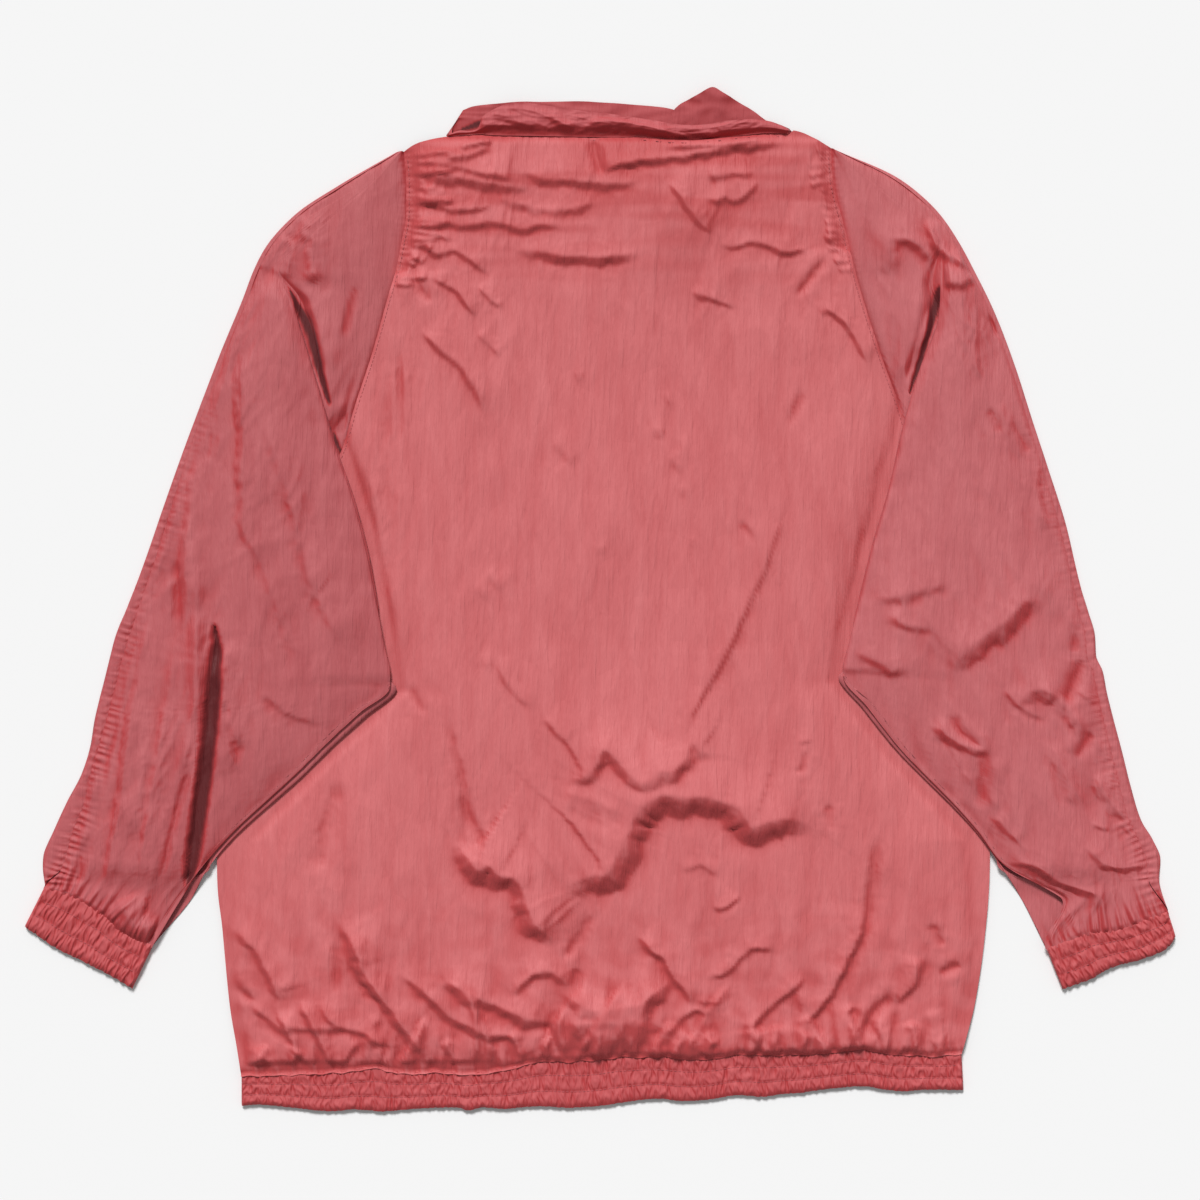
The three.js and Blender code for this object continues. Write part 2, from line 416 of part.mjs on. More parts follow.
for (const side of ['left', 'right']) {
  const n = COUNTS.cuff, top = sample(CUFF[side].top, n), end = sample(CUFF[side].bottom, n);
  const ring = (line) => {
    const a = line[0], b = line.at(-1), l = Math.hypot(...minus(b, a)), d = [(b[0] - a[0]) / l, (b[1] - a[1]) / l];
    const from = (p, k) => [p[0] + (d[0] * k) / GRID, p[1] + (d[1] * k) / GRID];
    return [
      [from(a, 0.7), 2.0], [from(a, 1.8), 3.4], ...line.slice(1, n).map((p) => [p, 3.6]), [from(b, -1.8), 3.4],
      [from(b, -0.7), 2.0], [from(b, -1.8), 0.6], ...line.slice(1, n).reverse().map((p) => [p, 0.6]), [from(a, 1.8), 0.6],
    ].map(([p, z]) => [X(p), Y(p), z]);
  };
  const a = ring(top), b = ring(end);
  const grid = [0, 1, 2].map((k) => a.map((p, i) => mix(p, b[i], k / 2)));
  add(`cuff_${side}`, wall(grid, CLOTH, true), COLOUR.band, 0.7);
}

// ---------------------------------------------------------------- zip, closed to the neck
{
  const [c0, c1] = CENTRE_FRONT, length = Math.hypot(...minus(c1, c0)), d = [(c1[0] - c0[0]) / length, (c1[1] - c0[1]) / length];
  const along = (k, off) => [c0[0] + d[0] * k - (d[1] * off) / GRID * -1, c0[1] + d[1] * k - (d[0] * off) / GRID];
  const startAt = 3 + (SLIDER.long + 0.4) / GRID, steps = COUNTS.zip;
  const strip = (a, b, thick) => {
    const rows = Array.from({ length: steps + 1 }, (_, k) => [a, b].map((off) => onGround(along(lerp(startAt, length, k / steps), off))));
    return wall(rows, thick);
  };
  add('zip_chain', strip(-CHAIN.half, CHAIN.half, CHAIN.thick), COLOUR.band, 0.45);
  add('zip_tape_left', strip(-TAPE.to, -TAPE.from, TAPE.thick), COLOUR.band, 0.75);
  add('zip_tape_right', strip(TAPE.from, TAPE.to, TAPE.thick), COLOUR.band, 0.75);

  const seat = along(3 + SLIDER.long / 2 / GRID, 0), unit = new THREE.Group();
  unit.position.set(...onGround(seat));
  unit.rotation.z = Math.atan2(-d[0], d[1]) * -1;
  jacket.add(unit);
  const bottom = -SLIDER.thick / 2;
  // The slider's side view, with the bow under it that holds the pull tab.
  const halfL = SLIDER.long / 2, halfB = SLIDER.bowLong / 2, drop = bottom - SLIDER.bowDrop;
  const body = new THREE.Shape();
  const outline = [[-halfL, bottom + 1], [-halfL + 1, bottom], [halfL - 1, bottom], [halfL, bottom + 1], [halfL, -bottom - 1], [halfL - 1, -bottom], [-halfL + 1, -bottom], [-halfL, -bottom - 1]];
  outline.forEach(([y, z], i) => (i ? body.lineTo(y, z) : body.moveTo(y, z)));
  body.closePath();
  const bow = new THREE.Shape();
  const bowLine = [[-halfB, bottom + 0.5], [-halfB, drop + 0.8], [-halfB + 0.8, drop], [halfB - 0.8, drop], [halfB, drop + 0.8], [halfB, bottom + 0.5],
    [halfB - SLIDER.leg, bottom + 0.5], [halfB - SLIDER.leg, drop + SLIDER.bowWall], [-halfB + SLIDER.leg, drop + SLIDER.bowWall], [-halfB + SLIDER.leg, bottom + 0.5]];
  bowLine.forEach(([y, z], i) => (i ? bow.lineTo(y, z) : bow.moveTo(y, z)));
  bow.closePath();
  // A side view (y, z) extruded along x and centred.
  const sideways = (shape, wide) => {
    const g = new THREE.ExtrudeGeometry(shape, { depth: wide, bevelEnabled: false, steps: 1 });
    g.translate(0, 0, -wide / 2);
    g.applyMatrix4(new THREE.Matrix4().set(0, 0, 1, 0, 1, 0, 0, 0, 0, 1, 0, 0, 0, 0, 0, 1));
    return g;
  };
  const { default: load } = await import('manifold-3d');
  const library = await load();
  library.setup();
  const { Manifold, Mesh } = library;
  const solid = (g) => {
    const flat = g.index ? g.toNonIndexed() : g, position = flat.attributes.position.array;
    const mesh = new Mesh({ numProp: 3, vertProperties: new Float32Array(position), triVerts: Uint32Array.from({ length: position.length / 3 }, (_, i) => i) });
    mesh.merge();
    return new Manifold(mesh);
  };
  const joined = Manifold.union(solid(sideways(body, SLIDER.wide)), solid(sideways(bow, SLIDER.bow))).getMesh();
  const slider = new THREE.BufferGeometry();
  slider.setAttribute('position', new THREE.Float32BufferAttribute(Array.from(joined.vertProperties), 3));
  slider.setIndex(Array.from(joined.triVerts));
  slider.computeVertexNormals();
  add('zip_slider', slider, COLOUR.metal, 0.35, 0.8, unit);

  // The pull tab: a plate with a window whose end bar passes through the bow.
  const plate = new THREE.Shape(), half = PULL.wide / 2, bar = 0.5;
  [[-half + 0.8, bar], [half - 0.8, bar], [half, bar - 0.8], [half, -PULL.long + 1.5], [half - 1.5, -PULL.long], [-half + 1.5, -PULL.long], [-half, -PULL.long + 1.5], [-half, bar - 0.8]]
    .forEach(([x, y], i) => (i ? plate.lineTo(x, y) : plate.moveTo(x, y)));
  plate.closePath();
  const window_ = new THREE.Path();
  [[-PULL.windowHalf, -bar], [-PULL.windowHalf, -bar - PULL.window], [PULL.windowHalf, -bar - PULL.window], [PULL.windowHalf, -bar]]
    .forEach(([x, y], i) => (i ? window_.lineTo(x, y) : window_.moveTo(x, y)));
  window_.closePath();
  plate.holes.push(window_);
  const tab = new THREE.ExtrudeGeometry(plate, { depth: PULL.thick, bevelEnabled: false, steps: 1 });
  tab.translate(0, 0, -PULL.thick / 2);
  const pull = add('zip_pull', tab, COLOUR.metal, 0.35, 0.8, unit);
  pull.position.set(0, 0, bottom - PULL.axisDrop);
}

export default jacket;
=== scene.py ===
import math

import bpy
import numpy as np
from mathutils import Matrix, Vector


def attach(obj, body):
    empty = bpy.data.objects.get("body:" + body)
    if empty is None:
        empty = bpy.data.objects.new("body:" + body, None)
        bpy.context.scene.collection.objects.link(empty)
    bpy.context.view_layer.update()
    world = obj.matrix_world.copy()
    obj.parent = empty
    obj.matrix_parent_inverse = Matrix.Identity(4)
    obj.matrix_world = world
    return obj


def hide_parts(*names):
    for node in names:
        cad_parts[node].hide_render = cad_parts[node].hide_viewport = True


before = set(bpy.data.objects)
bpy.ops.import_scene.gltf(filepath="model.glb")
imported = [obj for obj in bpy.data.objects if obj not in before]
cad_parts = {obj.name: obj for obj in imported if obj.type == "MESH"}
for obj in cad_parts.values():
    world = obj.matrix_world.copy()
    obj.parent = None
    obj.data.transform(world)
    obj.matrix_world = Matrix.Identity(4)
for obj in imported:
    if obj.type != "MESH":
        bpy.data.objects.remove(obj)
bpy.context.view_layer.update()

# ------------------------------------------------------------------ sizes
# Plan places are written in the same chart steps as in the CAD source: 0.72 mm a step, y down.
STEP = 0.72
MIDX, MIDY = 600.3, 599.5
FINE = 1.0

LOW, SECOND, THIRD, TOP = 0.6, 2.6, 4.4, 9.0  # mid-planes of the stacked layers, mm
ROLL = 2.2  # half height of a folded edge
SEAM = 0.12

# ------------------------------------------------------------------ charts, as in the CAD source
COLUMNS = ("lay", "seam", "inner", "fold", "outer", "edge", "under")
LEFT_SLEEVE = [
    ("flat", (404.2, 152.2), None, None, (399.8, 151.9), (396.6, 152.6), (404.2, 152.2)),
    ("flat", (406.5, 185), None, None, (341, 187.5), (338, 186.5), (406.5, 185)),
    ("flat", (406.3, 215), None, None, (299, 216), (296, 214.5), (406.3, 215)),
    ("flat", (401.5, 243), None, None, (271, 246.8), (267.5, 246), (401.5, 243)),
    ("flat", (396, 271), None, None, (258.5, 270.8), (255, 270), (396, 271)),
    ("step", (388, 300), (301, 303), (290, 303), (247.5, 300), (244, 299), (388, 300)),
    ("pleat", (372, 356), (272, 365), (310, 357), (226.5, 350.7), (223, 350), (372, 356)),
    ("pleat", (356.8, 402), (256, 425), (323, 402), (207, 402.8), (203, 402), (356.8, 402)),
    ("pleat", (340, 455), (246, 480), (337, 452), (188.5, 453.8), (184, 453), (340, 455)),
    ("pleat", (305, 515), (236, 535), (353, 500), (172, 507), (165, 506), (305, 515)),
    ("pleat", (263, 568), (229, 580), (368, 560), (155, 561.5), (146, 560), (263, 568)),
    ("knot", (214, 597.5), None, (376, 603), (138, 611), (127, 609), (218.5, 600.5)),
    ("turn", (219.5, 602.5), None, (379, 618), (133, 627), (121, 624), (217.5, 606.5)),
    ("turn", (266, 619.6), None, (381.5, 632), (128.5, 640), (116.5, 637), (265.6, 620.5)),
    ("turn", (308, 641.3), None, (385, 650), (122, 661), (111, 659), (307.6, 642.2)),
    ("turn", (350, 663), None, (389.5, 671), (117.5, 681), (106, 680), (349.6, 664)),
    ("free", (391, 685), None, None, (112, 701), (101, 700), (393, 691)),
    ("free", (361, 712), None, None, (106.6, 721), (96.5, 720), (367, 718)),
    ("free", (326.5, 744), None, None, (99, 747), (92.6, 745), (331, 751)),
    ("free", (296, 774.7), None, None, (91, 774), (84.2, 773), (302, 780)),
    ("free", (270, 798.5), None, None, (84, 804), (70, 801), (275, 808)),
    ("free", (236, 830), None, None, (73, 832), (57.5, 829), (244, 840)),
    ("free", (205, 864), None, None, (66, 857), (47, 855), (212.5, 873)),
    ("end", (176, 908), None, None, (60, 874.5), (44.5, 874), (190, 902)),
    ("end", (155, 941.8), None, None, (57, 889.6), (45.8, 884.6), (158, 943.5)),
]
RIGHT_SLEEVE = [
    ("flat", (830.8, 148.6), None, None, (835, 150.4), (838, 151.4), (830.8, 148.6)),
    ("flat", (832.5, 178), None, None, (893.5, 179.6), (897, 178), (832.5, 178)),
    ("flat", (837, 201), None, None, (922.5, 202), (926, 200.5), (837, 201)),
    ("flat", (842, 219), None, None, (937.5, 217.8), (941, 216.5), (842, 219)),
    ("flat", (849, 248), None, None, (955.5, 244.6), (959, 243.5), (849, 248)),
    ("step", (856, 278), (931, 284), (942, 284), (970, 272.2), (973.6, 271), (856, 278)),
    ("pleat", (866.4, 314), (951, 328), (937, 319), (989.5, 311.8), (993, 311), (866.4, 314)),
    ("pleat", (884, 366), (957, 385), (918, 372), (1010, 366.8), (1014, 366), (884, 366)),
    ("pleat", (901, 412), (963, 435), (902, 428), (1027, 419.8), (1031, 419), (901, 412)),
    ("pleat", (918, 470), (969, 490), (889, 488), (1043, 471.8), (1048, 471), (918, 470)),
    ("pleat", (938, 530), (974, 550), (873, 545), (1058.5, 524), (1064.5, 523), (938, 530)),
    ("knot", (991, 614), None, (856.5, 613), (1074, 592), (1081, 590), (987.5, 617)),
    ("turn", (985.5, 619.5), None, (852, 630), (1079, 613.6), (1087, 612), (987, 622.5)),
    ("turn", (945, 631.2), None, (848.5, 645), (1085, 637), (1093.5, 636), (945.4, 632.2)),
    ("turn", (911, 645), None, (845.5, 656), (1086.5, 655.5), (1094.5, 655), (911.4, 646)),
    ("turn", (876, 659.2), None, (843.3, 667), (1092, 672), (1101, 671), (876.4, 660.2)),
    ("free", (842.2, 675), None, None, (1097, 692.5), (1105, 692), (840.6, 681)),
    ("free", (866, 706), None, None, (1102, 715.5), (1110.5, 715), (862, 712)),
    ("free", (898.6, 747.5), None, None, (1111, 753), (1120, 752), (893, 753)),
    ("free", (925.4, 776), None, None, (1119, 786), (1128, 785), (920, 782)),
    ("free", (952, 803), None, None, (1129, 821), (1138.5, 820), (947, 810)),
    ("free", (976, 830), None, None, (1138, 840), (1149, 838), (972, 840)),
    ("free", (1001, 862.5), None, None, (1146, 860), (1157, 858), (998, 869)),
    ("end", (1060, 897), None, None, (1148, 882), (1158, 880), (1022, 900)),
    ("end", (1099, 928), None, None, (1157, 911.0), (1166, 908.5), (1045, 944.2)),
]
ARMPIT = {"left": (225, 598), "right": (980, 617)}
BODY_SIDE = {
    "left": [(225, 598), (221, 740), (217.5, 870), (223, 930), (230, 1003), (237, 1045), (242, 1073.3)],
    "right": [(980, 617), (987, 740), (989.3, 865), (984, 939), (975, 1000), (966, 1035), (961, 1050.8)],
}
NECK_SEAM = [(448, 137), (474.4, 134.5), (495, 136), (524, 136.5), (549, 137), (578, 137.5), (620, 138), (638, 137.5), (655, 139.5), (670, 141), (689, 142), (708, 140.6), (727.6, 138), (746.7, 135.6), (767, 133.8), (787, 134.4)]
SHOULDER = {"left": [(404.2, 152.2), (415, 145.2), (431, 140.4), (448, 137)], "right": [(792, 130.6), (799, 132.2), (806, 134.8), (817.5, 140.8), (830.8, 148.6)]}
FRONT_NECK = {"left": [(448, 139), (480, 152), (530, 171), (600, 184), (672, 187)], "right": [(789, 136), (760, 158), (722, 176), (672, 187)]}
CENTRE_FRONT = [(672, 187), (601.5, 1103)]
WAIST_SEAM = [(242, 1073.3), (276.5, 1072), (307, 1071), (340, 1070), (358, 1067), (378.6, 1065.5), (391, 1069), (417, 1070.8), (437, 1069), (455, 1071), (475.5, 1071.4), (506, 1067), (526.5, 1062), (544, 1058.5), (588, 1058), (616, 1054.5), (658, 1054), (692, 1056.7), (717, 1055), (739.6, 1051.8), (784.5, 1052), (826.6, 1050.3), (860, 1047), (896.7, 1051.8), (938.8, 1053), (961, 1050.8)]
WAIST_EDGE = [(242, 1105), (264, 1104), (302, 1108), (332.7, 1110.5), (353, 1108.5), (383.7, 1110.5), (417, 1108), (455, 1106.7), (468, 1109.5), (483, 1106.7), (506, 1108), (539, 1105.4), (570, 1107), (600, 1105), (610.5, 1103.5), (652.6, 1098), (680.7, 1100), (706, 1099), (737, 1094.5), (762, 1096), (781.7, 1093.3), (801, 1092), (829, 1088), (863, 1085.5), (882.7, 1088.5), (902, 1090.5), (930, 1088.8), (963, 1089.5)]
COLLAR_TOP = {
    "left": [(677.5, 111.6), (663.8, 108), (635.7, 105.2), (600, 102.7), (578, 101.6), (543, 102.2), (520, 102), (497, 104), (474, 106.4), (463, 110.5)],
    "leftTurn": (453, 126.5),
    "back": [(452, 134), (460, 131.4), (470, 131.8), (477.5, 129.8), (480.5, 124), (482.5, 118.5), (489, 113.6), (500, 108.2), (509, 105.2), (519, 103.8), (532, 104.7), (550, 107.6), (578, 112), (600, 114), (625.5, 117.8), (651, 121.7), (670, 124.8), (689, 126.8), (708, 125.5), (727.6, 122.3), (753, 120.6), (768.4, 122.2), (781, 126.4)],
    "rightTurn": (789, 129),
    "right": [(782, 127.2), (768, 122.2), (753, 111.3), (740, 103.8), (722.4, 93.5), (712, 88.5), (700, 94.3), (689, 100.2), (680, 105.2), (672.2, 112.4)],
}
CUFF = {
    "left": {"top": [(45.8, 885.4), (56.7, 888.4), (78, 895.8), (93.5, 905.2), (107, 914), (118, 925), (133, 935.2), (154, 944.4)], "bottom": [(25.4, 926), (40, 936), (56, 947), (84, 961), (106.6, 972.5), (133, 988)]},
    "right": {"top": [(1167, 910.6), (1140, 919.5), (1122, 926.4), (1106, 929.4), (1084, 932), (1076, 936), (1056, 943.6), (1045.5, 947)], "bottom": [(1175, 936), (1168, 946), (1158.6, 952), (1140, 959), (1119, 964.5), (1104, 970), (1090, 978.6), (1062, 988.5)]},
}

# ------------------------------------------------------------------ creases
# kind S: a fold with its crest on the line, which drops over `width` to the right-hand side of the line as it runs
#         and dies away over `ease` on the other side; kind V: a valley; kind R: a ridge. Height in mm, the rest in steps.
BACK_FOLDS = [
    ("S", 1.6, 5, 22, [(418, 165), (438, 165.5), (458, 168), (476.5, 174), (498, 177), (516, 181)]),
    ("S", 2.6, 9, 26, [(417, 173), (434, 178), (461, 181), (484, 184), (507, 187), (530, 190)]),
    ("S", 1.4, 7, 20, [(498, 200), (525, 207), (550, 211), (575, 209), (597.5, 203.5)]),
    ("S", 2.2, 8, 22, [(521, 173), (538, 179), (561, 181), (591, 183.6), (622, 185), (640, 180)]),
    ("S", 3.0, 7, 22, [(602.6, 171), (619, 165), (638, 162), (664, 160), (689, 157), (715, 152), (740, 148), (766, 145), (785, 143)]),
    ("S", 1.6, 4, 8, [(662, 149), (700, 147.5), (724, 146.3), (757, 140.6), (772, 138)]),
    ("V", 1.6, 5, 0, [(591, 139), (596, 153), (599, 168), (605, 176)]),
    ("S", 1.2, 4, 12, [(605, 173), (614, 168), (640, 165)]),
    ("S", 2.0, 6, 12, [(444, 158.6), (458, 158), (473.5, 155), (492, 148.7)]),
    ("S", 1.8, 5, 8, [(458, 150), (473.5, 145.6), (495, 140)]),
    ("S", 1.2, 4, 14, [(424.5, 189), (430.6, 194.6), (449, 194.6)]),
    ("S", 1.6, 5, 18, [(415, 202), (427.6, 203), (441, 207), (456.6, 211), (476.5, 210), (492, 207)]),
    ("S", 1.8, 6, 20, [(409, 224), (430.6, 227), (450.5, 225), (467, 227), (485.7, 223), (507, 226), (525.5, 229), (542, 225), (568, 230)]),
    ("S", 2.3, 9, 20, [(515, 250), (538, 253), (561, 257), (584, 258), (614, 258), (640, 254)]),
    ("S", 1.6, 5, 18, [(412, 243), (427.6, 246), (436.7, 255), (453.6, 252), (472, 261), (490, 276)]),
    ("S", 1.0, 4, 12, [(409, 255), (426, 263.5)]),
    ("V", 1.3, 5, 0, [(411.5, 271), (420, 289), (432, 305)]),
    ("S", 1.4, 4, 16, [(431, 279), (444, 284), (458, 293), (466, 302.5), (478, 318)]),
    ("S", 1.0, 4, 12, [(478, 287), (489, 298), (502, 309)]),
    ("S", 0.9, 4, 12, [(478, 333.6), (501, 357)]),
    ("S", 1.6, 5, 20, [(421, 330), (446, 355), (462, 367.5), (478, 394), (487, 416)]),
    ("S", 1.3, 5, 18, [(668, 184), (682.5, 201), (698.6, 223), (713, 235)]),
    ("S", 1.4, 5, 16, [(704, 178), (731, 176), (745, 175), (752, 172)]),
    ("S", 1.5, 5, 16, [(705.7, 199), (716, 203), (725, 199), (732.5, 203), (745, 196), (757.5, 182)]),
    ("S", 1.6, 5, 18, [(720, 246), (734, 248.5), (750, 243), (768, 247), (784, 253), (798.6, 251), (809, 248)]),
    ("S", 1.2, 4, 14, [(825, 241), (847, 247)]),
    ("S", 1.1, 5, 18, [(691, 292.5), (736, 307.7)]),
    ("V", 1.0, 4, 0, [(795, 299), (829, 255)]),
    ("S", 1.4, 5, 16, [(816, 306), (833.4, 314), (850.6, 331), (868, 364)]),
    ("V", 0.9, 3, 0, [(400.5, 341), (400.5, 446)]),
    ("V", 0.7, 9, 0, [(385, 369), (388, 450), (388, 476), (386, 539), (392, 600)]),
    ("V", 1.3, 5, 0, [(334, 402), (349, 452), (365, 500), (380, 560), (390, 618), (397, 665)]),
    ("V", 1.5, 9, 0, [(893, 428), (880, 488), (862, 545), (846, 613), (838, 655)]),
    ("S", 0.8, 4, 8, [(574.6, 377), (585, 377)]),
    ("S", 0.7, 4, 14, [(551, 441), (576, 464)]),
    ("S", 0.7, 3, 8, [(663, 395), (673, 406)]),
    ("S", 0.8, 4, 10, [(648, 437), (655.5, 432), (666, 434)]),
    ("S", 0.9, 4, 10, [(674.6, 442.6), (684, 448), (671, 460), (684, 471)]),
    ("S", 0.7, 3, 8, [(674.6, 486.6), (688, 496)]),
    ("S", 0.7, 3, 8, [(688, 542), (697.6, 546)]),
    ("V", 0.9, 4, 0, [(803, 391), (787.5, 427)]),
    ("V", 0.6, 3, 0, [(739.7, 523), (753, 542)]),
    ("S", 1.5, 3.5, 16, [(678.6, 743.6), (686, 731), (696, 704), (714, 674), (732, 640), (748, 602.5), (764, 568.6), (773, 540), (778, 528.7), (785.6, 500)]),
    ("S", 0.8, 4, 10, [(487, 570), (496, 582.5), (501, 590)]),
    ("S", 0.6, 3, 8, [(474.6, 588), (491, 597)]),
    ("S", 0.6, 3, 8, [(594, 552), (607, 549)]),
    ("S", 0.6, 3, 8, [(480, 659), (491, 666)]),
    ("S", 1.0, 4, 14, [(496, 656), (505, 679), (517.5, 695), (532, 707.5)]),
    ("S", 1.0, 4, 14, [(544, 718), (558.6, 734), (567.5, 743)]),
    ("V", 1.1, 4, 0, [(449.6, 716), (451.4, 734), (457, 757.5), (464, 788), (468, 812), (478, 832), (486, 856)]),
    ("V", 0.8, 4, 0, [(408.6, 686), (424.6, 714.6)]),
    ("S", 0.7, 3, 8, [(798, 742), (811, 739)]),
    ("V", 0.8, 3, 0, [(805, 750), (802, 768), (793, 772)]),
    ("S", 4.8, 11, 22, [(569, 777), (585, 777), (594, 764.6), (603, 748.6), (612, 752), (621, 764.6), (630, 772), (641, 782), (650, 779), (659, 770), (671, 770), (684, 757.6), (691, 742), (700, 749), (714, 753)]),
    ("S", 7.0, 21, 44, [(561, 891), (574, 882), (592, 874), (604, 873), (615, 857), (626, 834), (636, 812), (645, 801), (663, 794), (680, 796), (707, 796), (725, 801), (739, 807), (748, 819), (751, 826), (766, 821), (780, 817.5), (796, 819), (814, 827)]),
    ("S", 5.4, 15, 32, [(457, 840), (467, 855), (479, 867), (490, 864), (501, 874), (517, 878), (524, 891), (529, 905), (538, 923), (549, 934), (556, 944)]),
    ("S", 1.5, 18, 20, [(565, 790), (595, 800), (625, 812)]),
    ("S", 1.2, 5, 12, [(680, 869), (694, 865.5), (703, 864), (719, 874)]),
    ("S", 1.0, 4, 10, [(712, 907), (726, 905), (739, 894)]),
    ("V", 1.0, 4, 0, [(592, 912), (583, 930), (574, 946), (562, 958)]),
    ("V", 0.8, 4, 0, [(576, 966), (576, 1000)]),
    ("V", 1.6, 12, 0, [(340, 780), (323, 834), (316, 875)]),
    ("S", 3.2, 8, 22, [(338, 917), (349, 934), (361, 955), (368, 973), (384, 996), (399, 1017), (413, 1037), (433, 1059)]),
    ("S", 1.5, 5, 12, [(347, 934), (351, 956), (360, 974), (372, 989), (386, 1003)]),
    ("S", 2.0, 6, 18, [(238, 932), (254, 946), (266, 966), (275, 982), (281, 1001)]),
    ("V", 1.0, 4, 0, [(334, 941), (338, 976), (337, 994)]),
    ("S", 1.6, 5, 14, [(320, 1000), (331, 1017.5), (345, 1026), (363, 1030), (377, 1039), (395, 1046)]),
    ("S", 1.6, 6, 14, [(284, 1021), (299, 1026), (320, 1026), (349, 1028)]),
    ("S", 1.3, 5, 12, [(254, 1005), (279, 1024), (291, 1032)]),
    ("S", 3.2, 10, 20, [(440, 983), (454, 983), (476, 994), (502, 1005), (526, 1015.5), (552, 1021)]),
    ("S", 2.2, 7, 16, [(400, 971), (416, 983), (434, 998), (452, 1015.5), (470, 1024), (491, 1032), (524, 1035)]),
    ("S", 2.0, 7, 16, [(511, 994), (529, 975), (551, 969), (569, 985)]),
    ("S", 3.4, 12, 18, [(565, 992), (579, 1001), (592, 1008), (610, 1006.6), (627.5, 1005), (642, 1001), (654, 990.5), (669, 980)]),
    ("S", 2.2, 5, 16, [(638, 934), (651, 948), (663, 957), (672, 973), (683, 987), (694, 1003)]),
    ("S", 5.0, 26, 14, [(565, 1022), (592, 1021), (619, 1020), (636, 1019), (645, 1025), (654, 1030)]),
    ("V", 1.8, 5, 0, [(545, 1022), (553, 1036), (562, 1056)]),
    ("V", 1.5, 4, 0, [(656, 1028), (664, 1048)]),
    ("S", 1.6, 5, 12, [(670, 1034), (679, 1017), (695, 1008), (708, 1012)]),
    ("S", 0.9, 4, 8, [(697, 999), (720, 1001)]),
    ("S", 1.2, 4, 12, [(707, 976), (725, 971), (739, 957), (751, 946), (775, 949)]),
    ("S", 1.8, 5, 16, [(746, 1039), (755, 1021), (766, 1007), (780, 996), (794, 985), (803, 975)]),
    ("S", 2.1, 5, 18, [(798, 1020), (807, 1017.5), (821, 1003), (832, 987), (841, 969), (850, 951), (859, 932), (864, 905)]),
    ("V", 1.2, 5, 0, [(878, 834), (873, 869), (869, 905), (864, 948)]),
    ("S", 1.6, 5, 16, [(894, 1003), (912, 980), (919, 955)]),
    ("V", 1.5, 5, 0, [(889, 994), (876, 1010), (867, 1021), (862, 1042)]),
    ("V", 1.2, 4, 0, [(867, 1021), (876, 1035), (876, 1048)]),
    ("V", 0.8, 4, 0, [(930, 923), (942.5, 946)]),
    ("V", 0.8, 4, 0, [(828, 803), (832, 830)]),
    ("V", 1.0, 4, 0, [(850, 1007), (859, 1025)]),
    ("V", 0.9, 4, 0, [(939, 973), (960, 964)]),
    ("V", 0.9, 4, 0, [(229, 984), (256, 1001)]),
]


def gathers():
    """Short folds that run out of the armhole seams and up from the waist seam, uneven in length and depth."""
    r = np.random.default_rng(41)
    out = []
    for y in np.arange(156, 286, 6.4):
        y, long = y + r.uniform(-1.5, 1.5), r.uniform(12, 60) * (1 if y < 240 else 0.6)
        x = float(np.interp(y, [157, 215, 243, 271, 300], [404.5, 406.3, 401.5, 396, 388])) + 3
        dip = r.uniform(-0.12, 0.2)
        out.append(("S", r.uniform(0.6, 1.5), r.uniform(2.4, 4), r.uniform(4, 8), [(x, y), (x + 0.5 * long, y + dip * long * 0.5 + r.uniform(-1.5, 1.5)), (x + long, y + dip * long)]))
    for y in np.arange(152, 280, 8.0):
        y, long = y + r.uniform(-2, 2), r.uniform(8, 26)
        x = float(np.interp(y, [152, 178, 201, 219, 248, 278], [831, 832.5, 837, 842, 849, 856])) - 3
        out.append(("S", r.uniform(0.7, 1.4), r.uniform(3, 4.5), r.uniform(4, 8), [(x - long, y + r.uniform(-3, 3)), (x - 0.5 * long, y + r.uniform(-1.5, 1.5)), (x, y)]))
    for x in np.arange(252, 955, 19.0):
        x, long, lean = x + r.uniform(-8, 8), r.uniform(14, 75), r.uniform(-0.7, 0.7)
        y = float(np.interp(x, [242, 417, 544, 700, 961], [1072, 1070, 1058, 1056, 1051])) - 3
        line = [(x, y), (x + lean * long * 0.5 + r.uniform(-3, 3), y - 0.5 * long), (x + lean * long, y - long)]
        out.append(("S", r.uniform(0.9, 2.3), r.uniform(3.5, 6), r.uniform(7, 13), line if r.random() < 0.5 else line[::-1]))
    return out


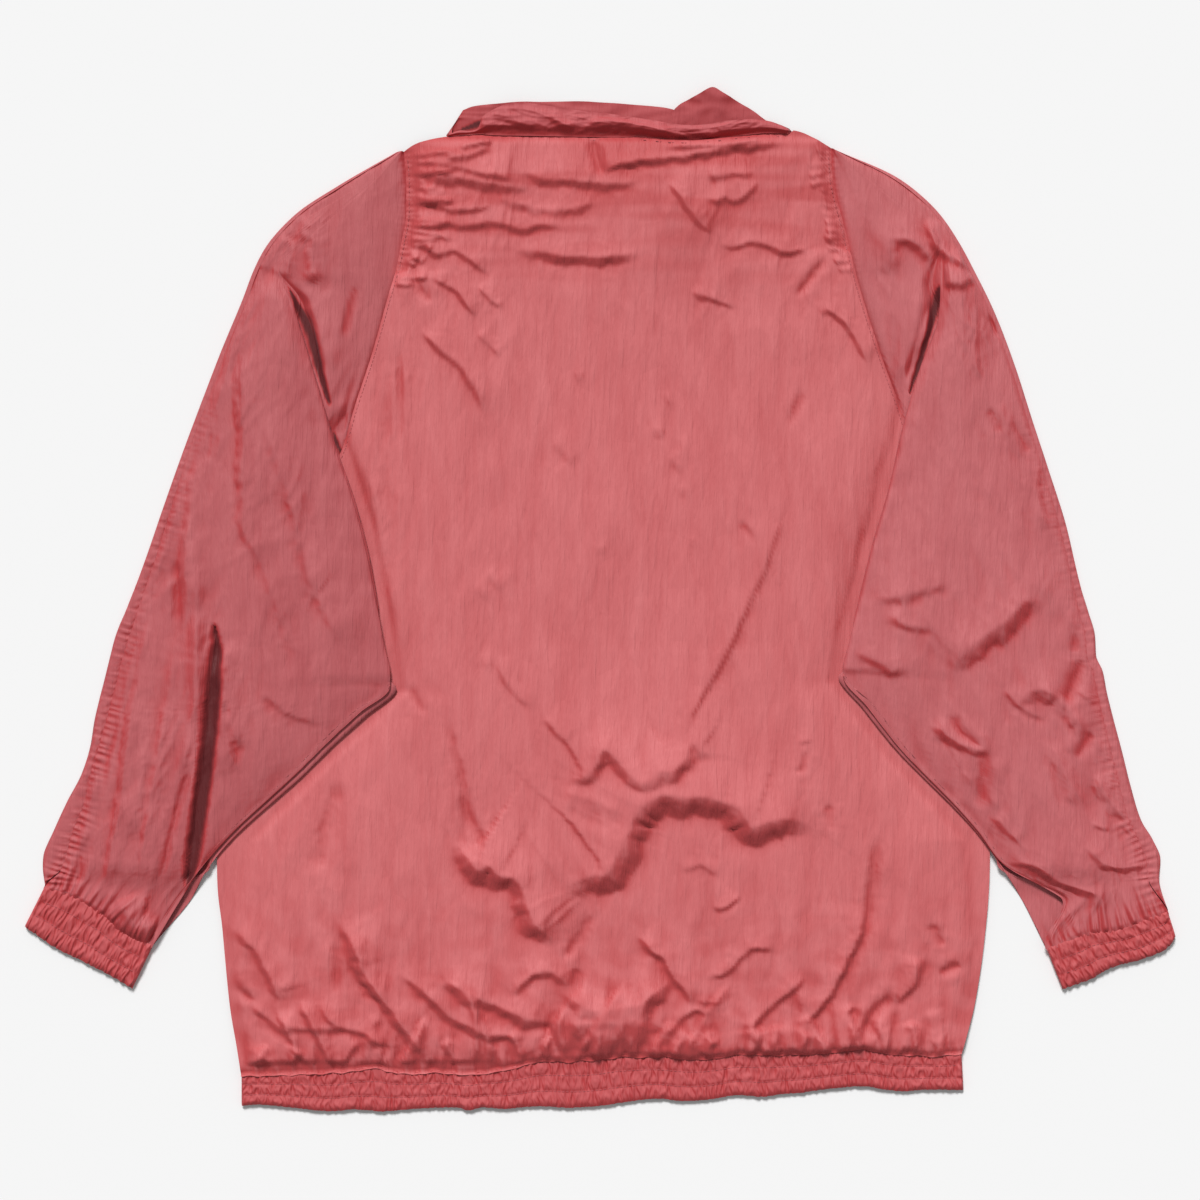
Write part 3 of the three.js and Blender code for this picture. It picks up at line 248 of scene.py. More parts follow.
BACK_FOLDS += gathers()
LEFT_FOLDS = [
    ("S", 1.6, 6, 16, [(178, 640), (170, 700), (160, 760), (150, 820), (141, 880)]),
    ("S", 1.3, 5, 12, [(136, 650), (128, 690), (118, 740), (108, 790)]),
    ("V", 1.1, 4, 0, [(200, 720), (187, 780), (172, 840), (160, 888)]),
    ("S", 1.3, 5, 10, [(96, 770), (90, 810), (80, 850)]),
    ("S", 1.8, 9, 26, [(241, 350), (243, 414), (246, 480), (247, 548)]),
    ("S", 2.0, 9, 20, [(200, 455), (193, 500), (188, 560), (186, 610)]),
    ("S", 1.6, 8, 16, [(176, 470), (166, 520), (158, 575)]),
    ("S", 1.8, 9, 22, [(244, 290), (236, 330), (226, 375), (214, 420)]),
    ("S", 2.2, 8, 14, [(301, 216), (312, 236), (315, 262), (314, 290)]),
    ("R", 1.6, 5, 0, [(198, 610), (199, 650), (199, 690), (196, 725)]),
    ("S", 3.0, 6, 34, [(240, 770), (229, 737), (224, 700), (225, 668), (231, 650)]),
    ("R", 2.4, 8, 0, [(199, 560), (198, 640), (196, 720), (184, 790)]),
    ("R", 2.6, 9, 0, [(230, 640), (235, 655), (231, 680), (233, 712), (242, 750)]),
    ("V", 1.0, 4, 0, [(174.7, 560), (179, 582), (177, 625)]),
    ("S", 2.0, 6, 20, [(156, 610), (146, 644), (137.5, 695), (132, 717), (126, 770), (121, 812), (112, 855), (109, 885)]),
    ("R", 1.6, 12, 0, [(150, 700), (142, 770), (136, 840)]),
    ("V", 1.0, 4, 0, [(81, 850), (80, 885)]),
    ("R", 4.0, 13, 0, [(124, 898), (138, 916), (150, 922), (158, 915)]),
    ("S", 1.6, 6, 16, [(284, 282), (289, 268), (291, 248), (282, 236)]),
    ("S", 1.4, 6, 14, [(312, 289), (312, 268), (305, 239), (300, 223)]),
    ("V", 0.5, 4, 0, [(239, 352), (242.5, 414)]),
    ("V", 0.6, 5, 0, [(212, 432), (208.6, 459)]),
    ("S", 1.2, 8, 26, [(262, 420), (284, 470), (300, 530), (318, 590), (352, 655)]),
    ("S", 1.0, 7, 22, [(238, 520), (262, 560), (282, 612), (300, 660)]),
    ("S", 1.0, 6, 20, [(262, 690), (290, 712), (322, 722)]),
]
LEFT_HOLLOW = [[(216, 626, 2), (217.5, 640, 4), (218, 652, 6.5), (217, 668, 8.5), (215.8, 684, 9.5), (214.5, 700, 9.5), (213, 718, 9.5), (209.5, 752, 9), (205, 785, 9), (200, 820, 9), (195, 855, 8), (190, 885, 5), (188, 903, 1)]]
LEFT_UNDER = [[(290, 290, 1.5), (298, 306, 4), (305, 320, 6.5), (311, 336, 6.5), (315, 350, 6), (320, 370, 5), (325, 388, 4), (330, 404, 2)], [(334, 432, 1), (338, 446, 3), (345, 458, 3), (353, 480, 1.5)]]
RIGHT_HOLLOW = []
RIGHT_UNDER = [[(938, 288, 2), (937, 296, 5), (935, 308, 6.5), (931, 322, 5), (927.5, 336, 3.5), (921.5, 356, 3.5), (915.6, 376, 3), (909, 394, 1)]]
LEFT_SADDLE = [
    ("V", 2.2, 6, 0, [(294, 289), (312, 343), (323, 379)]),
    ("V", 1.8, 8, 0, [(332, 437), (344, 423), (350, 459)]),
    ("V", 1.2, 3, 0, [(358.6, 280), (344, 341)]),
    ("V", 1.2, 3, 0, [(366, 348), (348, 409), (341, 434)]),
]
RIGHT_FOLDS = [
    ("S", 2.6, 12, 18, [(1014, 705), (1030, 690), (1052, 694), (1070, 712), (1082, 735)]),
    ("S", 1.6, 8, 14, [(1048, 742), (1062, 770), (1072, 806)]),
    ("S", 1.8, 8, 14, [(1094, 775), (1108, 800), (1126, 820)]),
    ("S", 1.6, 7, 14, [(930, 724), (958, 742), (988, 752)]),
    ("S", 1.4, 6, 12, [(888, 612), (905, 625), (930, 628)]),
    ("S", 2.2, 7, 16, [(893, 277), (892, 254), (893, 241), (906, 240), (916, 244), (927, 255), (936, 264)]),
    ("S", 2.4, 6, 14, [(927, 219), (934, 246), (952, 259), (968, 270)]),
    ("S", 2.4, 7, 14, [(941, 285), (959, 284), (973.6, 277)]),
    ("V", 1.0, 4, 0, [(922, 259), (925, 286)]),
    ("S", 1.0, 5, 12, [(981, 380), (973.6, 361), (975, 307)]),
    ("V", 0.8, 4, 0, [(988, 316), (997, 337.5)]),
    ("V", 0.8, 4, 0, [(988, 409), (1000, 434)]),
    ("V", 0.9, 4, 0, [(1011, 421), (1029, 454)]),
    ("S", 1.3, 6, 14, [(1047, 531), (1036, 496.5), (1038, 458)]),
    ("S", 3.6, 16, 28, [(948, 669), (967, 648), (990, 630), (1009, 615), (1026, 600), (1045, 609)]),
    ("S", 1.2, 5, 12, [(1003, 688), (1019, 707), (1045, 718.5)]),
    ("V", 1.2, 5, 0, [(1084, 611), (1076, 636), (1074, 655)]),
    ("V", 1.8, 7, 0, [(1084, 659), (1063, 705)]),
    ("S", 0.9, 4, 10, [(1076, 690), (1095, 703)]),
    ("S", 1.4, 6, 16, [(856.5, 651), (870, 658.5), (883, 665), (893, 679)]),
    ("S", 1.6, 8, 20, [(876, 601), (912, 592), (948, 583)]),
    ("V", 1.2, 4, 0, [(946, 713), (962, 736), (983, 747.5)]),
    ("V", 1.6, 6, 0, [(987.6, 748), (981, 770), (980, 809)]),
    ("S", 1.2, 4, 12, [(992, 815), (1016.5, 842)]),
    ("V", 1.2, 5, 0, [(1074, 759), (1093, 732.5)]),
    ("V", 0.8, 4, 0, [(1108, 769), (1118, 750)]),
    ("S", 0.8, 4, 8, [(1091, 824), (1108, 828)]),
    ("S", 0.8, 4, 8, [(1120, 822), (1131, 834)]),
    ("S", 1.6, 6, 14, [(1082, 845), (1093, 854), (1106, 864.5), (1140, 866), (1150, 866)]),
    ("S", 1.8, 6, 14, [(1007, 861), (1032, 864.5), (1055, 880), (1089, 891), (1115, 904)]),
]
RIGHT_SADDLE = [
    ("S", 2.0, 7, 14, [(893, 277), (892, 254), (893, 241), (906, 240), (916, 244), (927, 255), (936, 264)]),
    ("V", 1.4, 5, 0, [(930, 300), (915, 345), (905, 385)]),
]
COLLAR_FOLDS = [
    ("S", 2.2, 6, 8, [(489, 116), (509, 119), (523, 125), (543, 129)]),
    ("S", 1.8, 6, 7, [(548, 116), (562, 124), (575, 130)]),
    ("S", 2.4, 8, 6, [(583, 128), (606, 124), (628, 125), (650, 130), (676, 134)]),
    ("V", 1.2, 3, 0, [(596, 119), (614, 119), (632, 122)]),
    ("S", 1.6, 5, 8, [(676, 129), (700, 131), (730, 126), (762, 124)]),
    ("V", 0.8, 4, 0, [(560, 118), (590, 127), (628, 130)]),
    ("V", 0.8, 4, 0, [(660, 131), (690, 134), (722, 129)]),
    ("V", 0.6, 3, 0, [(735, 126), (760, 127)]),
]


# ------------------------------------------------------------------ curves and grids
def pchip(t, values, at):
    """A curve through rows of values that doesn't overshoot them."""
    t, v, at = np.asarray(t, float), np.asarray(values, float), np.asarray(at, float)
    h = np.diff(t)[(...,) + (None,) * (v.ndim - 1)]
    d = np.diff(v, axis=0) / h
    m = np.zeros_like(v)
    w1, w2 = 2 * h[1:] + h[:-1], h[1:] + 2 * h[:-1]
    same = d[:-1] * d[1:] > 0
    with np.errstate(divide="ignore", invalid="ignore"):
        inner = (w1 + w2) / (w1 / d[:-1] + w2 / d[1:])
    m[1:-1] = np.where(same, np.nan_to_num(inner), 0.0)
    m[0], m[-1] = d[0], d[-1]
    k = np.clip(np.searchsorted(t, at, side="right") - 1, 0, len(t) - 2)
    shape = (slice(None),) + (None,) * (v.ndim - 1)
    u, hk = ((at - t[k]) / (t[k + 1] - t[k]))[shape], (t[k + 1] - t[k])[shape]
    return (1 + 2 * u) * (1 - u) ** 2 * v[k] + u * (1 - u) ** 2 * hk * m[k] + u * u * (3 - 2 * u) * v[k + 1] + u * u * (u - 1) * hk * m[k + 1]


def chord(points):
    p = np.asarray(points, float)
    return np.concatenate([[0], np.cumsum(np.maximum(np.linalg.norm(np.diff(p, axis=0), axis=1), 1e-6))])


def catmull(points, per=10):
    p = np.asarray(points, float)
    if len(p) < 3:
        return p
    q = np.vstack([2 * p[0] - p[1], p, 2 * p[-1] - p[-2]])
    out, u = [], np.linspace(0, 1, per, endpoint=False)[:, None]
    for a, b, c, d in zip(q[:-3], q[1:-2], q[2:-1], q[3:]):
        out.append(0.5 * (2 * b + (c - a) * u + (2 * a - 5 * b + 4 * c - d) * u**2 + (3 * b - a - 3 * c + d) * u**3))
    return np.vstack(out + [p[-1:]])


def spaced(points, n):
    """n + 1 points evenly along a smooth curve through a table."""
    line = catmull(points)
    s = chord(line)
    at = np.linspace(0, s[-1], n + 1)
    return np.stack([np.interp(at, s, line[:, k]) for k in range(2)], 1)


def step(x, a=0.0, b=1.0):
    s = np.clip((np.asarray(x, float) - a) / (b - a), 0, 1)
    return s * s * (3 - 2 * s)


def patch(top, bottom, left, right, rows=None):
    n, m = len(top), len(left)
    u, v = np.linspace(0, 1, n)[None, :, None], (np.linspace(0, 1, m) if rows is None else rows)[:, None, None]
    T, B, L, R = top[None], bottom[None], left[:, None], right[:, None]
    return (1 - v) * T + v * B + (1 - u) * L + u * R - ((1 - u) * (1 - v) * top[0] + u * (1 - v) * top[-1] + (1 - u) * v * bottom[0] + u * v * bottom[-1])


# ------------------------------------------------------------------ noise and creases
class Noise:
    """Smooth gradient noise from a seeded table."""

    def __init__(self, seed):
        r = np.random.default_rng(seed)
        a = r.random((128, 128)) * 2 * math.pi
        self.g = np.stack([np.cos(a), np.sin(a)], -1)

    def __call__(self, x, y):
        xi, yi = np.floor(x).astype(int), np.floor(y).astype(int)
        xf, yf = x - xi, y - yi
        u, v = xf**3 * (xf * (xf * 6 - 15) + 10), yf**3 * (yf * (yf * 6 - 15) + 10)

        def corner(i, j):
            g = self.g[(xi + i) % 128, (yi + j) % 128]
            return g[..., 0] * (xf - i) + g[..., 1] * (yf - j)

        a = corner(0, 0) * (1 - u) + corner(1, 0) * u
        b = corner(0, 1) * (1 - u) + corner(1, 1) * u
        return (a * (1 - v) + b * v) * 1.5


N = [Noise(k) for k in range(12)]


def crumple(x, y, angle=0.0, stretch=2.2, size=34.0, k=0):
    """Crisp small folds, longer along one direction: flat facets between sharp lines. About -1 to 1."""
    c, s = math.cos(angle), math.sin(angle)
    a, b = (x * c + y * s) / size, (-x * s + y * c) / (size * stretch)
    wa, wb = N[k](a * 0.6 + 3.1, b * 0.6 + 7.7), N[k + 1](a * 0.6 + 11.3, b * 0.6 + 1.9)
    n1 = N[k + 2](a + 0.9 * wa, b + 0.9 * wb)
    n2 = N[k + 3](a * 2.1 + 0.7 * wb + 5, b * 1.7 + 0.7 * wa + 5)
    return (1 - 2 * np.abs(n1) ** 0.85) * 0.6 + (1 - 2 * np.abs(n2) ** 0.9) * 0.3 - 0.45


def relief(x, y, folds, tall=1.0):
    """Sum of the charted folds, in mm, over points in chart steps, and how close each point is to one of them."""
    z, close = np.zeros(x.shape), np.zeros(x.shape)
    for kind, high, width, ease, points in folds:
        line = catmull(points, 4)
        t = np.gradient(line, axis=0)
        t /= np.maximum(np.linalg.norm(t, axis=1), 1e-9)[:, None]
        s = chord(line)
        far = np.full(s.shape, points[0][0] / 7.0)
        jag = 1.3 * N[10](s / 13.0, far) + 0.35 * N[11](s / 5.5, far)
        line = line + np.stack([-t[:, 1], t[:, 0]], 1) * (jag * min(1.0, 0.25 + width / 8))[:, None]
        reach = max(width, ease) * 2.8 + 22
        near = (x > line[:, 0].min() - reach) & (x < line[:, 0].max() + reach) & (y > line[:, 1].min() - reach) & (y < line[:, 1].max() + reach)
        if not near.any():
            continue
        px, py = x[near], y[near]
        a, b = line[:-1], line[1:]
        d = b - a
        ll = np.maximum((d * d).sum(1), 1e-9)
        s = np.concatenate([[0], np.cumsum(np.sqrt(ll))])
        best, side, along = np.full(px.shape, 1e9), np.zeros(px.shape), np.zeros(px.shape)
        for i in range(len(a)):
            t = np.clip(((px - a[i, 0]) * d[i, 0] + (py - a[i, 1]) * d[i, 1]) / ll[i], 0, 1)
            ex, ey = px - a[i, 0] - t * d[i, 0], py - a[i, 1] - t * d[i, 1]
            q = ex * ex + ey * ey
            better = q < best
            best = np.where(better, q, best)
            side = np.where(better, np.sign(d[i, 0] * (py - a[i, 1]) - d[i, 1] * (px - a[i, 0])), side)
            along = np.where(better, s[i] + t * math.sqrt(ll[i]), along)
        r = np.sqrt(best)
        u = along / s[-1]
        wob = 1 + 0.4 * N[5](along / 38.0 + points[0][0], np.full(along.shape, points[0][1] / 9.0))
        fade = step(u, -0.03, 0.2) * step(1 - u, -0.03, 0.2) * wob * (1 + 0.3 * step(points[0][1], 860, 960))
        if kind == "S":
            w = width * (0.55 + 0.45 * np.clip(fade, 0, 1.3)) * (1 + 0.34 * N[7](along / 11.0 + 2.0, np.full(along.shape, points[0][1] / 5.0)))
            fall = 1 - np.clip(r / w, 0, 1)
            fall = 0.9 * fall + 0.1 * step(fall)
            rise = 0.06 * np.exp(-(((r - w) / (0.5 * w + 2)) ** 2)) * step(r / w)
            z[near] += tall * high * fade * np.where(side > 0, fall - rise, np.exp(-((r / ease) ** 1.1)))
        elif kind == "V":
            z[near] -= tall * high * fade * (np.exp(-((r / width) ** 1.2)) - 0.4 * np.exp(-(((r - 2.2 * width) / (1.3 * width)) ** 2)))
        else:
            z[near] += tall * high * fade * np.exp(-((r / width) ** 1.5))
        close[near] = np.maximum(close[near], fade * np.exp(-((r / 20.0) ** 2)))
    return z, close


def hollows(x, y, table):
    """1 inside the charted deep hollows (place and half width in chart steps), 0 outside, with a crisp edge."""
    deep = np.zeros(x.shape)
    for points in table:
        p = catmull(points, 6)
        near = (x > p[:, 0].min() - 14) & (x < p[:, 0].max() + 14) & (y > p[:, 1].min() - 14) & (y < p[:, 1].max() + 14)
        if not near.any():
            continue
        px, py, best = x[near], y[near], np.full(int(near.sum()), 1e9)
        for a, b in zip(p[:-1], p[1:]):
            d = b[:2] - a[:2]
            t = np.clip(((px - a[0]) * d[0] + (py - a[1]) * d[1]) / max(d @ d, 1e-9), 0, 1)
            w = np.maximum(a[2] + t * (b[2] - a[2]) + 0.8 * N[9](px / 5.0, py / 9.0), 0.8)
            best = np.minimum(best, np.hypot(px - a[0] - t * d[0], py - a[1] - t * d[1]) / w)
        deep[near] = np.maximum(deep[near], 1 - step(best, 0.40, 1.15))
    return deep


# ------------------------------------------------------------------ meshes
TALLEST = 19.6


def metres(x, y, z):
    z = np.where(z > 12, 12 + (TALLEST - 12) * (1 - np.exp(-(z - 12) / (TALLEST - 12))), z)
    return np.stack([(x - MIDX) * STEP / 1000, (MIDY - y) * STEP / 1000, z / 1000], -1)


def blur(z, n):
    """Running mean over 2n + 1 places both ways."""
    for axis in (0, 1):
        k = min(n, (z.shape[axis] - 1) // 2)
        if k < 1:
            continue
        pad = [(0, 0), (0, 0)]
        pad[axis] = (k + 1, k)
        c = np.cumsum(np.pad(z, pad, mode="edge"), axis=axis)
        z = (np.take(c, range(2 * k + 1, c.shape[axis]), axis=axis) - np.take(c, range(0, c.shape[axis] - 2 * k - 1), axis=axis)) / (2 * k + 1)
    return z


def painted_shade_of(points, painted_shade_extra=0.0, painted_crevice_dark=0.0):
    """Painted shade: how far the colour turns to the deep red, more in creases and on steep sides, most on those facing
    away from the key light, plus any added painted shade; in crevices it goes up to 2, painted near-black.
    """
    e = [np.gradient(points, axis=k) for k in (0, 1)]
    n = np.cross(e[0], e[1])
    n /= np.maximum(np.linalg.norm(n, axis=2), 1e-12)[..., None]
    steep = np.sqrt(np.maximum(1 - n[..., 2] ** 2, 0)) / np.maximum(np.abs(n[..., 2]), 0.05)
    z = points[..., 2] * 1000
    # painted shade in creases: darker where the surface lies below its blurred surroundings
    hollow = 0.36 * np.clip(blur(z, 3) - z, 0, 1.2) + 0.16 * np.clip(blur(z, 9) - z, 0, 2.0)
    # painted shade on steep slopes that face away from the key light
    away = -n[..., 1] * np.sign(n[..., 2]) / np.maximum(np.sqrt(np.maximum(1 - n[..., 2] ** 2, 0)), 1e-6)
    t = np.clip((0.10 + 0.90 * step(away, -0.7, 0.4)) * step(steep, 0.12, 0.62) + hollow - 0.05 + painted_shade_extra, 0, 1)
    return t * (1 - painted_crevice_dark) + 2 * painted_crevice_dark


def build(name, points, material, uv=None, ring=False, flip=False, painted_shade_extra=0.0, painted_crevice_dark=0.0):
    """A sheet from a grid of points in metres (rows, columns, 3)."""
    m, n = points.shape[:2]
    j, i = np.meshgrid(np.arange(m - 1), np.arange(n if ring else n - 1), indexing="ij")
    i2 = (i + 1) % n
    quads = np.stack([j * n + i, (j + 1) * n + i, (j + 1) * n + i2, j * n + i2], -1).reshape(-1, 4)
    if flip:
        quads = quads[:, ::-1]
    mesh = bpy.data.meshes.new(name)
    flat = points.reshape(-1, 3)
    mesh.vertices.add(len(flat))
    mesh.vertices.foreach_set("co", flat.astype(np.float32).ravel())
    mesh.loops.add(quads.size)
    mesh.loops.foreach_set("vertex_index", quads.astype(np.int32).ravel())
    mesh.polygons.add(len(quads))
    mesh.polygons.foreach_set("loop_start", np.arange(0, quads.size, 4, dtype=np.int32))
    mesh.polygons.foreach_set("loop_total", np.full(len(quads), 4, dtype=np.int32))
    mesh.polygons.foreach_set("use_smooth", np.ones(len(quads), bool))
    if uv is not None:
        layer = mesh.uv_layers.new(name="cloth")
        layer.data.foreach_set("uv", uv.reshape(-1, 2)[quads.ravel()].astype(np.float32).ravel())
    # painted shade per point, which the nylon materials read as a colour attribute
    painted_shade = mesh.attributes.new("painted_shade", "FLOAT", "POINT")
    painted_shade.data.foreach_set("value", painted_shade_of(points, painted_shade_extra, painted_crevice_dark).astype(np.float32).ravel())
    mesh.update(calc_edges=True)
    mesh.validate()
    mesh.materials.append(material)
    o = bpy.data.objects.new(name, mesh)
    bpy.context.scene.collection.objects.link(o)
    return o


# ------------------------------------------------------------------ materials
def nodes_of(name):
    m = bpy.data.materials.new(name)
    m.use_nodes = True
    t = m.node_tree
    t.nodes.clear()
    out = t.nodes.new("ShaderNodeOutputMaterial")
    p = t.nodes.new("ShaderNodeBsdfPrincipled")
    t.links.new(p.outputs[0], out.inputs[0])
    return m, t, p


def nylon(name, angle=0.0, dark=(0.455, 0.058, 0.063), light=(0.64, 0.165, 0.172), deep=(0.455, 0.052, 0.055), crinkle=1.0):
    """Thin crinkled nylon: long fine streaks, small crushed facets, a plain weave and a faint sheen, with painted shade
    that turns the colour to the deep red and, in crevices, near-black.
    """
    m, t, p = nodes_of(name)
    new, link = t.nodes.new, t.links.new
    coords = new("ShaderNodeTexCoord")

    def mapped(scale, turn=angle):
        q = new("ShaderNodeMapping")
        q.inputs["Rotation"].default_value = (0, 0, turn)
        q.inputs["Scale"].default_value = scale
        link(coords.outputs["Object"], q.inputs["Vector"])
        return q.outputs[0]

    def noise(scale, detail=3.0, rough=0.55, twist=0.3):
        q = new("ShaderNodeTexNoise")
        q.inputs["Scale"].default_value = 1.0
        q.inputs["Detail"].default_value = detail
        q.inputs["Roughness"].default_value = rough
        q.inputs["Distortion"].default_value = twist
        link(mapped(scale), q.inputs["Vector"])
        return q.outputs["Fac"]

    streak = noise((400, 34, 120), 3.0, 0.6, 0.35)
    fine = noise((1200, 150, 300), 2.0, 0.5, 0.2)
    patchy = noise((58, 12, 20), 3.0, 0.6, 0.4)
    facet = new("ShaderNodeTexVoronoi")
    facet.feature = "DISTANCE_TO_EDGE"
    facet.inputs["Scale"].default_value = 1.0
    facet.inputs["Randomness"].default_value = 1.0
    link(mapped((75, 24, 60)), facet.inputs["Vector"])

    def bump(height, strength, distance, normal=None):
        b = new("ShaderNodeBump")
        b.inputs["Strength"].default_value = strength
        b.inputs["Distance"].default_value = distance
        link(height, b.inputs["Height"])
        if normal is not None:
            link(normal, b.inputs["Normal"])
        return b.outputs[0]

    # weave
    wave_a, wave_b = new("ShaderNodeTexWave"), new("ShaderNodeTexWave")
    wave_a.bands_direction, wave_b.bands_direction = "X", "Y"
    for w in (wave_a, wave_b):
        w.inputs["Scale"].default_value = 420
        w.inputs["Distortion"].default_value = 0.0
        link(mapped((1, 1, 1)), w.inputs["Vector"])
    weave = new("ShaderNodeMath")
    weave.operation = "ADD"
    link(wave_a.outputs["Fac"], weave.inputs[0])
    link(wave_b.outputs["Fac"], weave.inputs[1])

    n = bump(weave.outputs[0], 0.15, 0.00006)
    n = bump(fine, 1.0, 0.00022 * crinkle, n)
    n = bump(streak, 1.0, 0.0008 * crinkle, n)
    n = bump(facet.outputs["Distance"], 1.0, 0.0010 * crinkle, n)
    n = bump(patchy, 1.0, 0.0015 * crinkle, n)
    link(n, p.inputs["Normal"])

    mixc = new("ShaderNodeMix")
    mixc.data_type = "RGBA"
    mixc.inputs[6].default_value = (*dark, 1)
    mixc.inputs[7].default_value = (*light, 1)
    blend = new("ShaderNodeMath")
    blend.operation = "MULTIPLY_ADD"
    link(streak, blend.inputs[0])
    blend.inputs[1].default_value = 0.42
    add = new("ShaderNodeMath")
    add.operation = "MULTIPLY"
    link(patchy, add.inputs[0])
    add.inputs[1].default_value = 0.85
    link(add.outputs[0], blend.inputs[2])
    link(blend.outputs[0], mixc.inputs[0])
    # painted shade: the attribute mixes the colour towards the deep red, and past 1 on towards near-black for painted
    # shade in crevices
    painted_shade_node = new("ShaderNodeAttribute")
    painted_shade_node.attribute_name = "painted_shade"
    painted_shade_mix = new("ShaderNodeMix")
    painted_shade_mix.data_type = "RGBA"
    link(painted_shade_node.outputs["Fac"], painted_shade_mix.inputs[0])
    link(mixc.outputs[2], painted_shade_mix.inputs[6])
    painted_shade_mix.inputs[7].default_value = (*deep, 1)
    past = new("ShaderNodeMath")
    past.operation = "SUBTRACT"
    past.inputs[1].default_value = 1.0
    link(painted_shade_node.outputs["Fac"], past.inputs[0])
    crevice_shade_mix = new("ShaderNodeMix")
    crevice_shade_mix.data_type = "RGBA"
    link(past.outputs[0], crevice_shade_mix.inputs[0])
    link(painted_shade_mix.outputs[2], crevice_shade_mix.inputs[6])
    crevice_shade_mix.inputs[7].default_value = (0.10, 0.004, 0.006, 1)
    link(crevice_shade_mix.outputs[2], p.inputs["Base Color"])
    ro = new("ShaderNodeMapRange")
    ro.inputs["To Min"].default_value = 0.58
    ro.inputs["To Max"].default_value = 0.70
    link(fine, ro.inputs["Value"])
    link(ro.outputs[0], p.inputs["Roughness"])
    p.inputs["Specular IOR Level"].default_value = 0.42
    p.inputs["Sheen Weight"].default_value = 0.08
    p.inputs["Sheen Roughness"].default_value = 0.5
    p.inputs["Sheen Tint"].default_value = (1.0, 0.72, 0.80, 1)
    return m


def plain(name, color, rough, metal=0.0, grain=(400, 400, 400), depth=0.0001):
    m, t, p = nodes_of(name)
    c = t.nodes.new("ShaderNodeTexCoord")
    q = t.nodes.new("ShaderNodeMapping")
    q.inputs["Scale"].default_value = grain
    t.links.new(c.outputs["Object"], q.inputs["Vector"])
    s = t.nodes.new("ShaderNodeTexNoise")
    s.inputs["Scale"].default_value = 1.0
    s.inputs["Detail"].default_value = 4
    t.links.new(q.outputs[0], s.inputs["Vector"])
    mixc = t.nodes.new("ShaderNodeMix")
    mixc.data_type = "RGBA"
    mixc.inputs[6].default_value = (*[v * 0.86 for v in color], 1)
    mixc.inputs[7].default_value = (*[min(1, v * 1.1) for v in color], 1)
    t.links.new(s.outputs["Fac"], mixc.inputs[0])
    t.links.new(mixc.outputs[2], p.inputs["Base Color"])
    b = t.nodes.new("ShaderNodeBump")
    b.inputs["Strength"].default_value = 0.4
    b.inputs["Distance"].default_value = depth
    t.links.new(s.outputs["Fac"], b.inputs["Height"])
    t.links.new(b.outputs[0], p.inputs["Normal"])
    r = t.nodes.new("ShaderNodeMapRange")
    r.inputs["To Min"].default_value = rough - 0.06
    r.inputs["To Max"].default_value = rough + 0.08
    t.links.new(s.outputs["Fac"], r.inputs["Value"])
    t.links.new(r.outputs[0], p.inputs["Roughness"])
    p.inputs["Metallic"].default_value = metal
    return m


MAT_BODY = nylon("nylon_body", 0.0)
# painted shade: the sleeve and collar copies of the body's nylon get darker colours, the collar and left sleeve
# darkest, standing for less light falling on them
MAT_LEFT = nylon("nylon_sleeve_left", math.radians(24), dark=(0.350, 0.042, 0.050), light=(0.505, 0.122, 0.132), deep=(0.42, 0.034, 0.038))
MAT_RIGHT = nylon("nylon_sleeve_right", math.radians(-20), dark=(0.385, 0.052, 0.060), light=(0.555, 0.145, 0.156), deep=(0.44, 0.037, 0.041))
MAT_COLLAR = nylon("nylon_collar", math.radians(90), dark=(0.35, 0.038, 0.044), light=(0.50, 0.088, 0.097), deep=(0.37, 0.026, 0.029), crinkle=0.7)
MAT_ELASTIC = nylon("nylon_elastic", 0.0, dark=(0.40, 0.048, 0.053), light=(0.54, 0.094, 0.100), deep=(0.42, 0.032, 0.035), crinkle=0.5)
MAT_THREAD = plain("thread", (0.42, 0.08, 0.09), 0.6)
MAT_TAPE = plain("zip_tape", (0.36, 0.06, 0.07), 0.8, grain=(900, 250, 400))
MAT_TOOTH = plain("zip_teeth", (0.38, 0.07, 0.08), 0.42)
MAT_METAL = plain("zip_metal", (0.62, 0.58, 0.56), 0.32, 1.0, grain=(1800, 300, 600), depth=0.00003)


# ------------------------------------------------------------------ heights
def named(rows):
    return [dict(zip(COLUMNS, r)) for r in rows]


left, right = named(LEFT_SLEEVE), named(RIGHT_SLEEVE)


def centre_x(y):
    (x0, y0), (x1, y1) = CENTRE_FRONT
    return x0 + (x1 - x0) * (y - y0) / (y1 - y0)


def lift(x, y):
    return 4.2 * np.exp(-(((x - 669.5) ** 2 + (y - 212) ** 2) * STEP**2) / (2 * 30**2))


def ground(x, y):
    off = (x - centre_x(y)) * STEP
    return LOW + lift(x, y) + 0.6 * np.exp(-((off / 14) ** 2))


def bare_line(rows, side):
    line = [r["under"] if r["lay"] in ("free", "end") else (r["fold"] or r["seam"]) for r in rows[:22]]
    line = line + BODY_SIDE[side][3:]
    return np.array(sorted(line, key=lambda p: p[1]), float)


BARE = {"left": bare_line(left, "left"), "right": bare_line(right, "right")}


def clear_of(x, y):
    """0 under the sleeves and at the edges, 1 over the open part of the back."""
    l = np.interp(y, BARE["left"][:, 1], BARE["left"][:, 0])
    r = np.interp(y, BARE["right"][:, 1], BARE["right"][:, 0])
    return np.minimum(np.minimum(x - l - 3, r - x - 3), np.minimum(1.4 * (y - 134), 1.8 * (1066 - y)))


